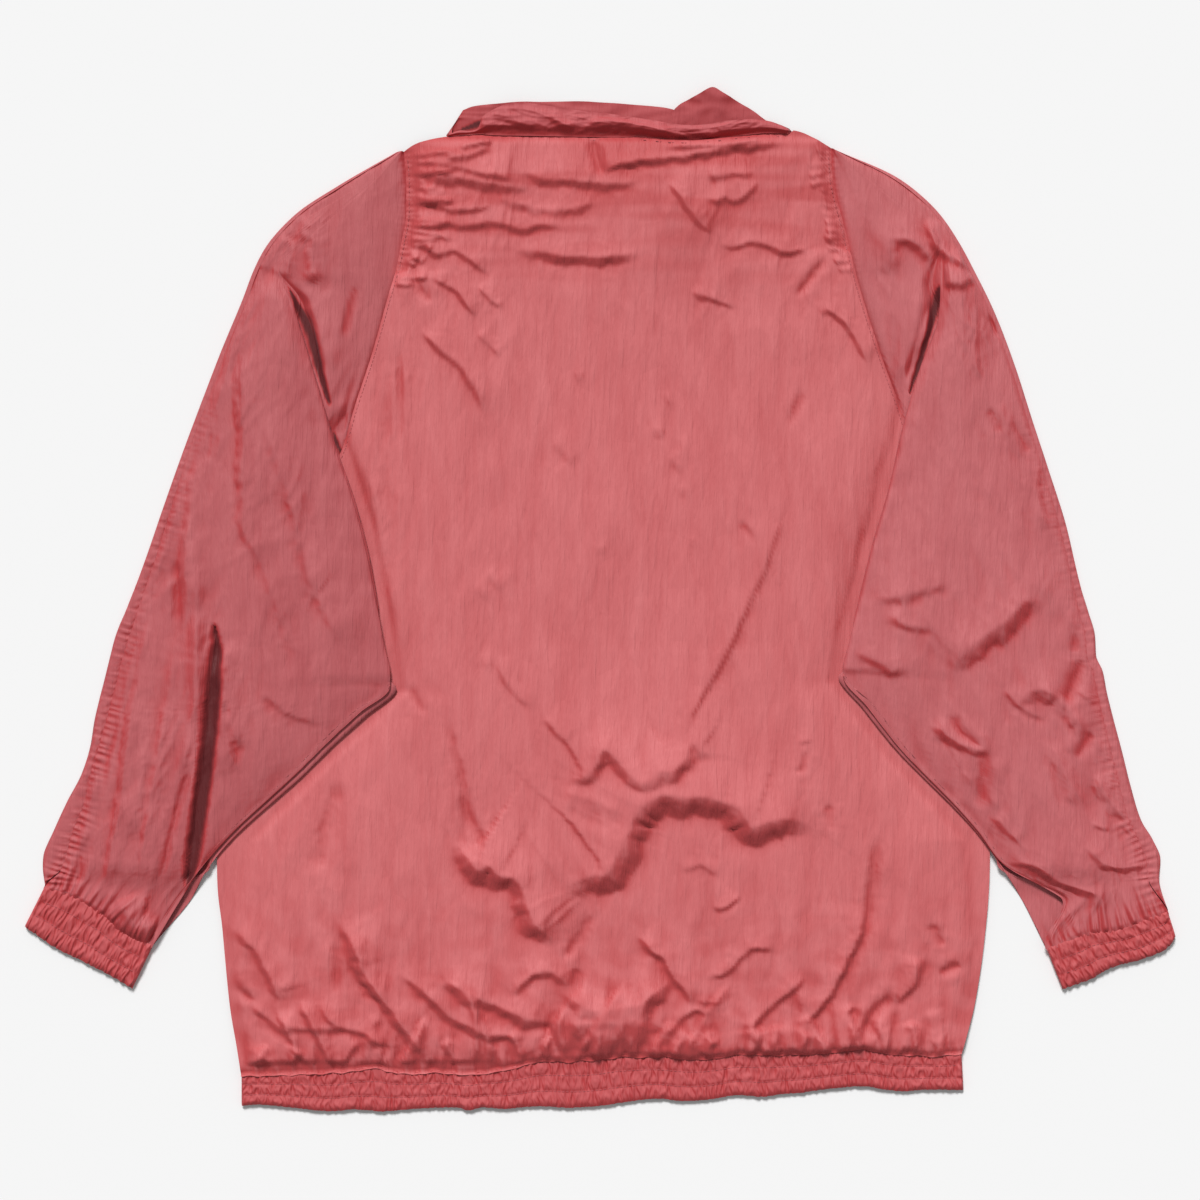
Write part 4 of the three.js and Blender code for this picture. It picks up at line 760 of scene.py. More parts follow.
def pucker(distance, along, pitch, reach, high, k=0):
    """Small gathers that run out of a seam."""
    a = along / pitch
    phase = a + 0.45 * N[k](a * 0.7, a * 0 + 3.3)
    length = reach * (0.65 + 0.7 * (0.5 + 0.5 * N[k + 1](a * 0.55, a * 0 + 8.1)))
    return high * np.cos(2 * math.pi * phase) * np.exp(-((distance / length) ** 1.5)) * step(distance, -0.5, 1.5)


# ------------------------------------------------------------------ back
def armhole(rows, side, n):
    line = np.array([r["seam"] for r in rows[:11]] + [ARMPIT[side]], float)
    s = chord(line)
    at = np.linspace(0, s[-1], n + 1)
    return pchip(s, line, at)


def nearest(line, x, y, reach=26):
    """Distance to a line and place along it; far points get a large distance."""
    line = np.asarray(line, float)
    d = np.diff(line, axis=0)
    ll = np.maximum((d * d).sum(1), 1e-9)
    s = np.concatenate([[0], np.cumsum(np.sqrt(ll))])
    best, along = np.full(x.shape, 1e6), np.zeros(x.shape)
    near = (x > line[:, 0].min() - reach) & (x < line[:, 0].max() + reach) & (y > line[:, 1].min() - reach) & (y < line[:, 1].max() + reach)
    px, py = x[near], y[near]
    bb, aa = np.full(px.shape, 1e6), np.zeros(px.shape)
    for i in range(len(d)):
        t = np.clip(((px - line[i, 0]) * d[i, 0] + (py - line[i, 1]) * d[i, 1]) / ll[i], 0, 1)
        q = (px - line[i, 0] - t * d[i, 0]) ** 2 + (py - line[i, 1] - t * d[i, 1]) ** 2
        hit = q < bb
        bb, aa = np.where(hit, q, bb), np.where(hit, s[i] + t * math.sqrt(ll[i]), aa)
    best[near], along[near] = np.sqrt(bb), aa
    return best, along


def make_back():
    na, ns, nu = int(176 * FINE), int(166 * FINE), int(274 * FINE)
    neck_n, sh = int(nu * 0.8), int(nu * 0.1)
    neck_n = nu - 2 * sh
    top = np.vstack([spaced(SHOULDER["left"], sh)[:-1], spaced(NECK_SEAM, neck_n), spaced(SHOULDER["right"], sh)[1:]])
    bottom = spaced(WAIST_SEAM, nu)
    # rows lie closer together where the cloth has more folds
    even = np.linspace(0, 1, 2001)
    dense = 1.0 - 0.58 * step(even, 0.20, 0.27) * step(1 - even, 0.34, 0.42)
    total = np.concatenate([[0], np.cumsum(0.5 * (dense[1:] + dense[:-1]))])
    v = np.interp(np.linspace(0, 1, na + ns + 1), total / total[-1], even)
    sides = {}
    for name, rows in (("left", left), ("right", right)):
        line = np.vstack([armhole(rows, name, 300), spaced(BODY_SIDE[name], 300)[1:]])
        at = chord(line) / chord(line)[-1]
        sides[name] = np.stack([np.interp(v, at, line[:, k]) for k in range(2)], 1)
    g = patch(top, bottom, sides["left"], sides["right"], v)
    x, y = g[..., 0], g[..., 1]
    inside = clear_of(x, y)
    clear = step(inside, 0, 60)
    edge = step(inside, 0, 14)
    z = SECOND + lift(x, y) + 2.6 * clear + 1.9 * step(inside, 1, 16)
    folds, close = relief(x, y, BACK_FOLDS, 1.4)
    z = z + folds * edge
    calm = 0.55 + 0.6 * close + 0.35 * step(np.abs(y - 560), 180, 380)
    z += edge * calm * (1.0 * crumple(x, y, 0.0, 2.8, 52, 0) + 0.45 * crumple(x, y, 0.12, 3.4, 20, 3))
    z += edge * (0.15 + 1.1 * close) * 0.30 * crumple(x, y, 0.5, 1.5, 10, 5)
    z += clear * 1.3 * N[8](x / 120.0, y / 150.0)
    # seams: the cloth dips into them, with gathers
    for s, rows in (("left", left), ("right", right)):
        d, a = nearest(armhole(rows, s, 60)[:42], x, y)
        z += pucker(d, a, 4.8, 9 if s == "left" else 7, 0.62, 6) * step((300 if s == "left" else 272) - y, 0, 40) - 0.9 * np.exp(-((d / 1.8) ** 2))
    d, a = nearest(spaced(NECK_SEAM, 60), x, y)
    z += pucker(d, a, 9.0, 8, 0.35, 2) - 0.9 * np.exp(-((d / 3.5) ** 2))
    d, a = nearest(spaced(WAIST_SEAM, 90), x, y, 60)
    z += 2.3 * np.exp(-((d / 26) ** 2)) * step(d, 0, 6)
    z += pucker(d, a, 7.5, 14, 0.8, 1) + pucker(d, a + 3, 19.0, 30, 1.1, 4)
    hem = np.exp(-((d / 1.5) ** 2))
    z = z * (1 - hem) + (5.5 + 0.6 * N[3](a / 6.0, a * 0)) * hem
    y = y + 2.2 * np.exp(-((d / 6) ** 2)) * (1 + 0.9 * N[2](a / 14.0, a * 0 + 5))
    z = np.maximum(z, 1.9 + lift(x, y))
    # painted shade: soft dark bands over the yoke, dark facets above the waist seam, the pouch over it and the corners
    # by the shoulders
    bands = np.clip(0.45 + 1.5 * N[5](x / 95.0 + 3.0, y / 13.0), 0, 1)
    facets = np.clip(0.35 + 1.8 * N[2](x / 24.0 + 7.0, y / 19.0), 0, 1)
    pouch = step(x, 552, 572) * step(x, 742, 722) * step(y, 1018, 1030)
    shade = step(y, 330, 190) * (0.20 + 0.55 * bands) + step(y, 820, 1020) * 0.45 * facets + pouch * (0.35 + 0.5 * facets)
    shade += 0.25 * step(x, 770, 830) * step(y, 175, 140) + 0.25 * step(x, 470, 420) * step(y, 165, 140)
    return build("back_panel", metres(x, y, z), MAT_BODY, painted_shade_extra=shade)


# ------------------------------------------------------------------ sleeves
def turn(p, out, z0, z1, turned, roll=ROLL):
    p, out = np.array(p, float), np.array(out, float)
    d, r = out / np.linalg.norm(out), roll / STEP
    if turned:
        return [(p - d * r, z0), (p, (z0 + z1) / 2), (p - d * r, z1)]
    return [(p - d * 1.4 * r, z0), (p, (z0 + z1) / 2), (p + d * 1.4 * r, z1)]


Z_OUTER = 3.4


def law(row):
    """Height of the top surface at its inner edge and at the overarm seam, and how much it puffs between them."""
    return {"end": (4.8, 4.2, 1.8), "flat": (SECOND, Z_OUTER, 2.4), "free": (6.8, Z_OUTER, 5.0)}.get(row["lay"], (TOP, Z_OUTER, 3.6))


def crown(t, inner, outer, puff):
    return inner + (outer - inner) * t**2.0 + puff * np.sin(math.pi * np.clip(t, 0, 1) ** 0.8)


def upper_rows(rows):
    """Sections of the upper sleeve cloth: 11 places from the armhole seam to the inner edge of its top surface, then 6 over it."""
    table = []
    for j, r in enumerate(rows):
        S, O = np.array(r["seam"], float), np.array(r["outer"], float)
        across, k = O - S, 1.0
        inner, outer, puff = law(r)
        if r["lay"] in ("flat", "end"):
            k = (0.5, 0.6, 0.7, 0.8, 0.86)[j] / 0.4 if r["lay"] == "flat" else 0.5
            if r["lay"] == "flat":
                at = np.array((0, 0.18, 0.34, 0.37, 0.374, 0.378, 0.382, 0.386, 0.390, 0.395, 0.4)) * (1 - j / 4) + np.array((0, 0.19, 0.35, 0.388, 0.39, 0.392, 0.393, 0.395, 0.397, 0.398, 0.4)) * (j / 4)
            else:
                at = np.array((0, 0.04, 0.08, 0.12, 0.16, 0.2, 0.24, 0.28, 0.32, 0.36, 0.4))
            prof = [(S + across * t * k, float(crown(t * k, inner, outer, puff))) for t in at]
        elif r["lay"] == "free":
            k = 0.03 if rows[j - 1]["lay"] == "turn" else 0.10
            prof = [(S + across * 0.012 * k, THIRD + 0.5), (S, THIRD + 2.1)]
            prof += [(S + across * t * k, float(crown(t * k, inner, outer, puff))) for t in (0.012, 0.03, 0.06, 0.1, 0.15, 0.21, 0.27, 0.33, 0.4)]
        else:
            F = np.array(r["fold"], float)
            if r["lay"] == "knot":
                prof = [(S + (F - S) * q, SECOND + up) for q, up in ((0, 0.2), (-0.002, 0.4), (-0.003, 0.7), (-0.003, 1.1), (-0.001, 1.5), (0.01, THIRD - SECOND), (0.3, THIRD - SECOND), (0.6, THIRD - SECOND))]
                prof += turn(F, F - S, THIRD, TOP, True)
            elif r["lay"] == "turn":
                b = turn(F, F - S, THIRD, TOP, True)
                prof = [(S + (b[0][0] - S) * q, THIRD) for q in (0, 0.1, 0.2, 0.3, 0.42, 0.54, 0.66, 0.8)] + b
            else:
                I = np.array(r["inner"], float)
                if r["lay"] == "step":
                    drop = [(I + (F - I) * q, SECOND + (TOP - 1.2 - SECOND) * float(step(q))) for q in (0, 0.17, 0.34, 0.66, 0.83, 1)]
                    a, b = drop[:3], drop[3:]
                else:
                    a = turn(I, I - S, SECOND, THIRD, True, 0.9)
                    b = turn(F, F - I, THIRD, TOP, True)
                way = (I - S) / np.linalg.norm(I - S)
                full = np.linalg.norm(I - S)
                seen = min(max(float((F - S) @ way), 0.0), full - 1)
                high = min(4.8, 0.11 * seen * STEP) * (0.7 if r["lay"] == "step" else 1)
                prof = [(S, SECOND), (S + way * max(0.45 * seen, 0.15 * full), SECOND + 0.6 * high), (S + way * max(seen - 13, 0.3 * full), SECOND + high), (S + way * max(seen - 1, 0.5 * full), SECOND)]
                prof += a + [((a[2][0] + b[0][0]) / 2, (a[2][1] + b[0][1]) / 2)] + b
        start = prof[-1][0]
        if r["lay"] in ("flat", "end", "free"):
            at = 0.4 * k
            prof += [(S + across * (at + (1 - at) * q / 6), float(crown(at + (1 - at) * q / 6, inner, outer, puff))) for q in range(1, 7)]
        else:
            prof += [(start + (O - start) * q / 6, float(crown(q / 6, prof[10][1], outer, puff))) for q in range(1, 7)]
        table.append([[p[0], p[1], z] for p, z in prof])
    return np.array(table)


def lower_rows(rows, side):
    s = -1 if side == "left" else 1
    line = np.array(sorted(BODY_SIDE[side], key=lambda p: p[1]), float)
    table = []
    for r in rows:
        O, W, E = (np.array(r[k], float) for k in ("outer", "edge", "under"))
        if r["lay"] == "free":
            S = np.array(r["seam"], float)
            E = S + (E - S) * min(1.0, (4.2 if side == "left" else 1.8) / np.linalg.norm(E - S))
        n = (W - O) / np.linalg.norm(W - O)
        inset = lambda k: W - n * k / STEP
        over = r["lay"] in ("turn", "free")
        zo = 4.2 if r["lay"] == "end" else Z_OUTER
        start = inset(2.2)
        side_x = np.interp((W[1] + E[1]) / 2, line[:, 1], line[:, 0])
        where = lambda x: start + (E - start) * (x - start[0]) / (E[0] - start[0])
        foot = where(side_x + s * 24) if over else start + (E - start) * 0.55
        head = where(side_x + s * 8) if over else start + (E - start) * 0.7
        up = THIRD + 0.1 if over else LOW
        rim = (E - head) / np.linalg.norm(E - head)
        prof = [(O, zo), (inset(1.6), zo - 0.5), (inset(0.0), (zo + LOW) / 2), (start, LOW), ((start + foot) / 2, LOW), (foot, LOW), (head, up), ((head + E) / 2, up)]
        prof += [(E - rim * 1.6, up + 0.5), (E, up - 0.4), (E - rim * 1.0, up - 1.2)] if over else [(E - rim * 1.6, up), (E - rim * 0.6, up), (E, up)]
        table.append([[p[0], p[1], z] for p, z in prof])
    return np.array(table)


def refine(table, per_column, mm=2.0):
    """A fine grid through a table of sections: rows about mm apart, per_column steps in each column gap."""
    mean = np.median(np.linalg.norm(np.diff(table[:, :, :2], axis=0), axis=2), axis=1) * STEP
    t, at, j = [0.0], [], 0
    for m in mean:
        t.append(t[-1] + max(m, 1.0))
    for a, b, m in zip(t[:-1], t[1:], mean):
        n = max(1, int(round(m * FINE / mm)))
        at += list(np.linspace(a, b, n, endpoint=False))
    at = np.array(at + [t[-1]])
    g = pchip(np.array(t), table, at)
    cols, pos = [], []
    for c, n in enumerate(per_column):
        n = max(1, int(round(n * FINE)))
        pos += list(c + np.linspace(0, 1, n, endpoint=False))
    pos = np.array(pos + [len(per_column)])
    p = np.moveaxis(g, 1, 0)
    k = np.clip(pos.astype(int), 0, len(per_column) - 1)
    u = (pos - k)[:, None, None]
    q = np.concatenate([2 * p[:1] - p[1:2], p, 2 * p[-1:] - p[-2:-1]])
    a, b, c, d = q[k], q[k + 1], q[k + 2], q[k + 3]
    fine = 0.5 * (2 * b + (c - a) * u + (2 * a - 5 * b + 4 * c - d) * u**2 + (3 * b - a - 3 * c + d) * u**3)
    return np.moveaxis(fine, 0, 1), pos, at, np.array(t)


def into_cuff(x, y, z, at, line, inner, outer, over):
    """Pulls the last rows of a sleeve onto the cuff's seam, with gathers that die away up the sleeve."""
    curve = spaced(line, 60)[::-1]
    a, b = np.array(inner, float), np.array(outer, float)
    d = b - a
    t = np.clip(((x[-1] - a[0]) * d[0] + (y[-1] - a[1]) * d[1]) / (d @ d), 0, 1)
    down = np.array([d[1], -d[0]]) / np.linalg.norm(d)
    down = down if down[1] > 0 else -down
    cx, cy = (np.interp(t, np.linspace(0, 1, 61), curve[:, k]) for k in range(2))
    w = step(at, at[-1] - 34, at[-1])[:, None]
    x = x + w * (cx + down[0] * over - x[-1])[None, :]
    y = y + w * (cy + down[1] * over - y[-1])[None, :]
    d_, a_ = nearest(curve, x, y, 40)
    z = z + pucker(d_, a_, 7.0, 16, 0.8, 3) + pucker(d_, a_ + 2, 13.0, 26, 0.8, 7)
    return x, y, z


def make_upper(rows, side, material, folds, saddle, angle, hollow, below):
    per = [10, 10, 12, 5, 3, 3, 3, 3, 4, 4, 8, 16, 15, 15, 15, 15]
    g, pos, at, row = refine(upper_rows(rows), per)
    x, y, z = g[..., 0].copy(), g[..., 1].copy(), g[..., 2].copy()
    tip = next(j for j, r in enumerate(rows) if r["lay"] == "free")
    after = (at >= row[tip])[:, None]
    folded = step(at, row[4], row[5])[:, None]  # 0 where the sleeve lies flat, 1 from the first folded row
    pos2 = np.broadcast_to(pos[None, :], x.shape)

    def along(first):
        c = int(np.argmax(pos >= first))
        d = np.hypot(x - x[:, c : c + 1], y - y[:, c : c + 1])
        return np.where(pos2 >= first, np.clip(d / d[:, -1:], 0, 1), 0)

    t = np.where(after, along(2), along(10))
    first = np.where(after, 2, 10)
    laws = pchip(row, np.array([law(r) for r in rows]), at)
    w = step(at, row[tip - 4], row[tip - 2])[:, None] * (pos2 >= first)
    z = z * (1 - w) + crown(t, laws[:, :1], laws[:, 1:2], laws[:, 2:]) * w
    # where the folds show
    top = np.where(pos2 >= first, np.where(after, step(t, 0, 0.05), 1 - folded + folded * step(t, 0, 0.07)), 1 - folded)
    top = top * np.where(pos2 >= first, step(1 - t, 0, 0.05), 1) * step(pos2, 0, 0.8)
    beside = np.where((pos2 < 4) & ~after, folded * step(pos2, 0, 0.8), 0)
    folds_z, close = relief(x, y, folds, 1.4)
    z += top * folds_z + beside * relief(x, y, saddle, 1.3)[0]
    z += top * ((0.55 + 0.6 * close) * (1.5 * crumple(x, y, angle, 2.8, 46, 0) + 0.7 * crumple(x, y, angle, 2.8, 19, 3)) + 0.26 * (0.3 + 0.9 * close) * crumple(x, y, angle + 0.5, 1.5, 10, 5) + 1.4 * N[9](x / 90.0 + 4, y / 110.0))
    z += beside * 0.8 * crumple(x, y, angle, 2.6, 26, 1)
    holes, slits = hollows(x, y, hollow) * (pos2 >= first), hollows(x, y, below) * (pos2 < 8.6) * ~after
    z -= 6.0 * holes * top + 1.8 * slits * beside
    # the folded edge isn't straight: it swells and pinches
    lip = np.where(after, np.exp(-(((pos2 - 1.4) / 0.9) ** 2)), np.exp(-(((pos2 - 9.3) / 1.1) ** 2)) * folded)
    down = np.broadcast_to(at[:, None], x.shape)
    z += lip * (1.0 * N[7](down / 34.0, down * 0 + 2.2) + 0.5 * N[6](down / 11.0, down * 0 + 6.2))
    # armhole and overarm seams, gathered
    d, a = nearest(spaced([r["seam"] for r in rows[:11]], 60), x, y)
    near_seam = np.where((pos2 < 4) | (folded < 0.5), 1.0, 0.0) * ~after
    z += near_seam * (pucker(d, a, 6.0, 5, 0.2, 6) - 0.7 * np.exp(-((d / 1.8) ** 2)))
    d, a = nearest(spaced([r["outer"] for r in rows], 160), x, y, 24)
    gather = (0.12 + 0.88 * step(y, 330, 620)) * (1.0 if side == "left" else 0.55) * (0.6 + 0.8 * step(N[4](a / 40.0, a * 0 + 1.7), -0.3, 0.4))
    z += step(t, 0.6, 0.8) * (gather * pucker(d, a, 6.5, 11, 0.85, 2) - 0.5 * np.exp(-(((d - 0.5) / 1.6) ** 2)))
    # the end goes into the cuff
    x, y, z = into_cuff(x, y, z, at, CUFF[side]["top"], rows[-1]["seam"], rows[-1]["outer"], 3.0)
    side_line = np.array(sorted(BODY_SIDE[side], key=lambda q: q[1]), float)
    reach = (x - np.interp(y, side_line[:, 1], side_line[:, 0])) * (1 if side == "left" else -1)
    under = step(reach, -34, -19) * step(at, row[tip - 6], row[tip - 5])[:, None] * step(at[-1] - at, 0, 30)[:, None] * (pos2 >= first)
    z = np.maximum(z, LOW + 0.9 + 4.2 * under)
    last = step(at, at[-1] - 5, at[-1])[:, None]
    z = z * (1 - last) + np.minimum(z, 4.6) * last
    # painted shade: the hollows and slits by the folded edge go near-black, and the sleeve is darkened towards its top
    return build(f"sleeve_back_{side}_cloth", metres(x, y, z), material, flip=side == "left", painted_crevice_dark=np.clip(holes + slits, 0, 1), painted_shade_extra=0.10 * step(y, 330, 200))


def make_lower(rows, side, material, angle):
    per = [6, 5, 4, 10, 10, 10, 8, 8, 4, 3]
    g, pos, at, row = refine(lower_rows(rows, side), per)
    x, y, z = g[..., 0], g[..., 1], g[..., 2].copy()
    z += step(pos, 6, 7)[None, :] * 0.3 * crumple(x, y, angle, 2.4, 20, 2)
    floor = step(pos, 3.2, 4.0)[None, :] * step(pos, 6.2, 5.4)[None, :]
    z += floor * np.maximum(0, 0.9 * crumple(x, y, angle, 2.8, 34, 5) + 0.3)
    d, a = nearest(spaced([r["outer"] for r in rows], 160), x, y, 24)
    z += step(pos, 2.6, 1.6)[None, :] * ((0.12 + 0.88 * step(y, 330, 620)) * (1.0 if side == "left" else 0.55) * pucker(d, a, 6.5, 10, 1.0, 2) - 0.4 * np.exp(-((d / 2.2) ** 2)))
    x, y, z = into_cuff(x.copy(), y.copy(), z, at, CUFF[side]["top"], rows[-1]["under"], rows[-1]["outer"], 0.0)
    z = np.maximum(z, 0.25)
    return build(f"sleeve_front_{side}_cloth", metres(x, y, z), material, flip=side == "right")


# ------------------------------------------------------------------ fronts
def make_front(side):
    s = -1 if side == "left" else 1
    rows = left if side == "left" else right
    nu, na, ns = int(110 * FINE), int(70 * FINE), int(90 * FINE)
    shoulder = spaced(SHOULDER["left"] if s < 0 else SHOULDER["right"][::-1], int(nu * 0.2))
    neck = spaced(FRONT_NECK[side], nu - int(nu * 0.2))
    off = 8.4 / STEP
    neck[-1] = (neck[-1][0] + s * off, neck[-1][1])
    top = np.vstack([shoulder[:-1], neck])
    waist = spaced(WAIST_SEAM, 2 * nu)
    bottom = waist[: nu + 1] if s < 0 else waist[nu:][::-1]
    bottom = bottom.copy()
    bottom[-1] = (centre_x(bottom[-1][1]) + s * off, bottom[-1][1])
    outer = np.vstack([armhole(rows, side, na), spaced(BODY_SIDE[side], ns)[1:]])
    inner = np.stack([np.linspace(top[-1][k], bottom[-1][k], len(outer)) for k in range(2)], 1)
    g = patch(top, bottom, outer, inner)
    x, y = g[..., 0], g[..., 1]
    z = ground(x, y) - 0.3 + 1.3 * np.exp(-(((x - centre_x(y)) / 18) ** 4)) * step(y, 345, 315)
    inside = np.minimum(np.abs(x - centre_x(y)) - 12, np.minimum(y - 190, 1060 - y))
    z += step(inside, 0, 30) * np.maximum(0, 0.9 * crumple(x, y, 0.1 * s, 2.4, 44, 1) + 0.35 * crumple(x, y, 0, 2.0, 18, 4) + 0.2)
    z = np.maximum(z, 0.2)
    return build(f"front_{side}_cloth", metres(x, y, z), MAT_BODY, flip=s < 0)


# ------------------------------------------------------------------ collar
def make_collar():
    off = 1.2 / STEP
    low, high, height, arch, part = [], [], [], [], []
    nl = spaced(FRONT_NECK["left"], 70)[::-1].copy()
    nl[0] = (nl[0][0] - off, nl[0][1])
    tl = spaced(COLLAR_TOP["left"], 70)
    nb, tb = spaced(NECK_SEAM, 230), spaced(COLLAR_TOP["back"], 230)
    nr = spaced(FRONT_NECK["right"], 60).copy()
    nr[-1] = (nr[-1][0] + off, nr[-1][1])
    tr = spaced(COLLAR_TOP["right"], 60)
    lows = np.vstack([nl, [(446.4, 135.6)], nb, [(792.2, 132.6)], nr])
    highs = np.vstack([tl, [COLLAR_TOP["leftTurn"]], tb, [COLLAR_TOP["rightTurn"]], tr])
    kind = np.array([0] * 71 + [1] + [2] * 231 + [1] + [3] * 61)
    rows = int(34 * max(FINE, 0.8))
    t = np.linspace(0, 1, rows + 1)[:, None]
    x = lows[None, :, 0] * (1 - t) + highs[None, :, 0] * t
    y = lows[None, :, 1] * (1 - t) + highs[None, :, 1] * t
    tt = np.broadcast_to(t, x.shape)
    u = np.concatenate([np.linspace(0, 1, 71), [0.5], np.linspace(0, 1, 231), [0.5], np.linspace(0, 1, 61)])[None, :]
    z = np.zeros(x.shape)
    k = kind[None, :]
    tall = np.minimum(1, np.linalg.norm(highs - lows, axis=1) / 16)[None, :]
    front = ground(x, y) + 0.3 + 0.8 * step(tt, 0.3, 1.0)
    back = SECOND + 0.5 + lift(x, y) + tall * (4.6 * step(tt, 0.0, 0.45) - 1.2 * step(tt, 0.55, 1.0))
    z = np.where(k == 2, back, np.where(k == 1, 1.9, front))
    z += np.where(k == 2, tall * (1.5 * crumple(x, y, math.pi / 2, 2.5, 20, 2) + 0.5 * crumple(x, y, math.pi / 2, 2.0, 9, 5) + relief(x, y, COLLAR_FOLDS)[0]) * step(tt, 0, 0.2), 0)
    # the corner that stands up behind the back of the collar
    tip = np.exp(-(((x - 712) / 34) ** 2 + ((y - 90) / 26) ** 2))
    z += np.where(k == 3, 4.5 * tip + 1.6 * np.exp(-(((x - 672) / 12) ** 2)) * step(tt, 0.4, 0.9), 0)
    z += np.where((k == 0) | (k == 3), step(tt, 0.5, 0.8) * 1.1 * crumple(x, y, math.pi / 2, 3.0, 18, 4), 0)
    z = np.maximum(z, 0.4)
    # painted shade: near-black in the gap by the collar's left end; the collar's front pieces are darkened, and its
    # back is darker near the neck seam
    gap = hollows(x, y, [[(457, 133, 0.8), (463, 129.5, 2.2), (470, 127.4, 3.8), (477, 125, 4.6), (481, 123, 4)]]) * (k < 2)
    painted_shade_extra = np.where(k == 0, 0.30, 0) + np.where(k == 3, 0.25, 0) + np.where(k == 2, 0.45 * step(tt, 0.45, 0.05), 0)
    return build("collar_cloth", metres(x, y, z), MAT_COLLAR, painted_shade_extra=painted_shade_extra, painted_crevice_dark=gap)


# ------------------------------------------------------------------ elastic bands
def ruched(a, v, channels, k, pitch=5.2, high=1.35):
    """Fine uneven gathers on elastic, held down at the stitch rows. a in steps along, v 0 to 1 across."""
    c = np.clip(v * channels, 0, channels - 1e-6)
    cell = np.floor(c)
    f = c - cell
    puff = np.sin(math.pi * f) ** 0.5
    drift = 0.6 * N[k](a / 11.0, v * 3.0)
    g1 = N[k + 1](a / pitch + drift, cell * 2.3 + f * 0.8)
    g2 = N[k + 2](a / (0.5 * pitch) + 2 * drift, cell * 3.1 + f * 1.3 + 9)
    lines = 0.7 * (1 - 2 * np.abs(g1) ** 0.8) + 0.3 * (1 - 2 * np.abs(g2) ** 0.9) - 0.2
    return high * lines * (0.5 + 0.5 * puff), puff


def make_waistband():
    nu, nl, rows = int(960 * FINE), int(300 * FINE), int(27 * FINE)
    off = 8.4 / STEP
    upper_a, upper_b = spaced(WAIST_SEAM, nu), spaced(WAIST_EDGE, nu)
    wa, wb = spaced(WAIST_SEAM, 2 * nl), spaced(WAIST_EDGE, 2 * nl)
    la, lb = wa[: nl + 1][::-1].copy(), wb[: nl + 1][::-1].copy()
    ra, rb = wa[nl:].copy(), wb[nl:].copy()
    for line, s in ((la, -1), (lb, -1), (ra, 1), (rb, 1)):
        line[0] = (centre_x(line[0][1]) + s * off, line[0][1])
    round_n = 8
    ang = np.linspace(0, math.pi, round_n + 2)[1:-1]
    r = 1.7

    def bend(a0, b0, s, up):
        """Points round the side of the flattened band."""
        order = ang if up else ang[::-1]
        out_a = [(a0[0] + s * (math.sin(q) * r - r) / STEP, a0[1]) for q in order]
        out_b = [(b0[0] + s * (math.sin(q) * r - r) / STEP, b0[1]) for q in order]
        return np.array(out_a), np.array(out_b), [LOW + r * (1 - math.cos(q)) for q in order]

    ba, bb, bz = bend(upper_a[0], upper_b[0], -1, True)
    ea, eb, ez = bend(upper_a[-1], upper_b[-1], 1, False)
    inset = 2 * int(nu / 520)
    a = np.vstack([la[:-2], ba, upper_a[inset:-inset], ea, ra[2:][::-1]])
    b = np.vstack([lb[:-2], bb, upper_b[inset:-inset], eb, rb[2:][::-1]])
    n1, n2 = len(la) - 2, len(ba)
    m = len(upper_a) - 2 * inset
    high = np.concatenate([np.full(n1, LOW), bz, np.full(m, LOW + 2 * r), ez, np.full(len(ra) - 2, LOW)])
    side = np.concatenate([np.full(n1, -1.0), -np.cos(ang), np.ones(m), -np.cos(ang[::-1]), np.full(len(ra) - 2, -1.0)])
    v = np.linspace(0, 1, rows + 1)[:, None]
    x = a[None, :, 0] * (1 - v) + b[None, :, 0] * v
    y = a[None, :, 1] * (1 - v) + b[None, :, 1] * v
    s = np.concatenate([[0], np.cumsum(np.linalg.norm(np.diff(a, axis=0), axis=1))])
    aa, vv = np.broadcast_to(s[None], x.shape), np.broadcast_to(v, x.shape)
    gather, puff = ruched(aa, vv, 3, 0)
    sd = side[None]
    z = high[None] + np.where(sd > 0, 0.4 * puff + gather, 0) * np.abs(sd) + np.where(sd < 0, 0.35 * np.abs(gather), 0)
    hem = np.exp(-(((vv - 1) / 0.05) ** 2))
    z -= np.where(sd > 0, hem * 1.0, 0)
    z += np.where(sd < 0, ground(x, y) - LOW, 0)
    y = y + np.where(vv > 0.9, 0.5 * gather * (vv - 0.9) * 10, 0)
    z = np.maximum(z, 0.2)
    return build("waistband_cloth", metres(x, y, z), MAT_ELASTIC)


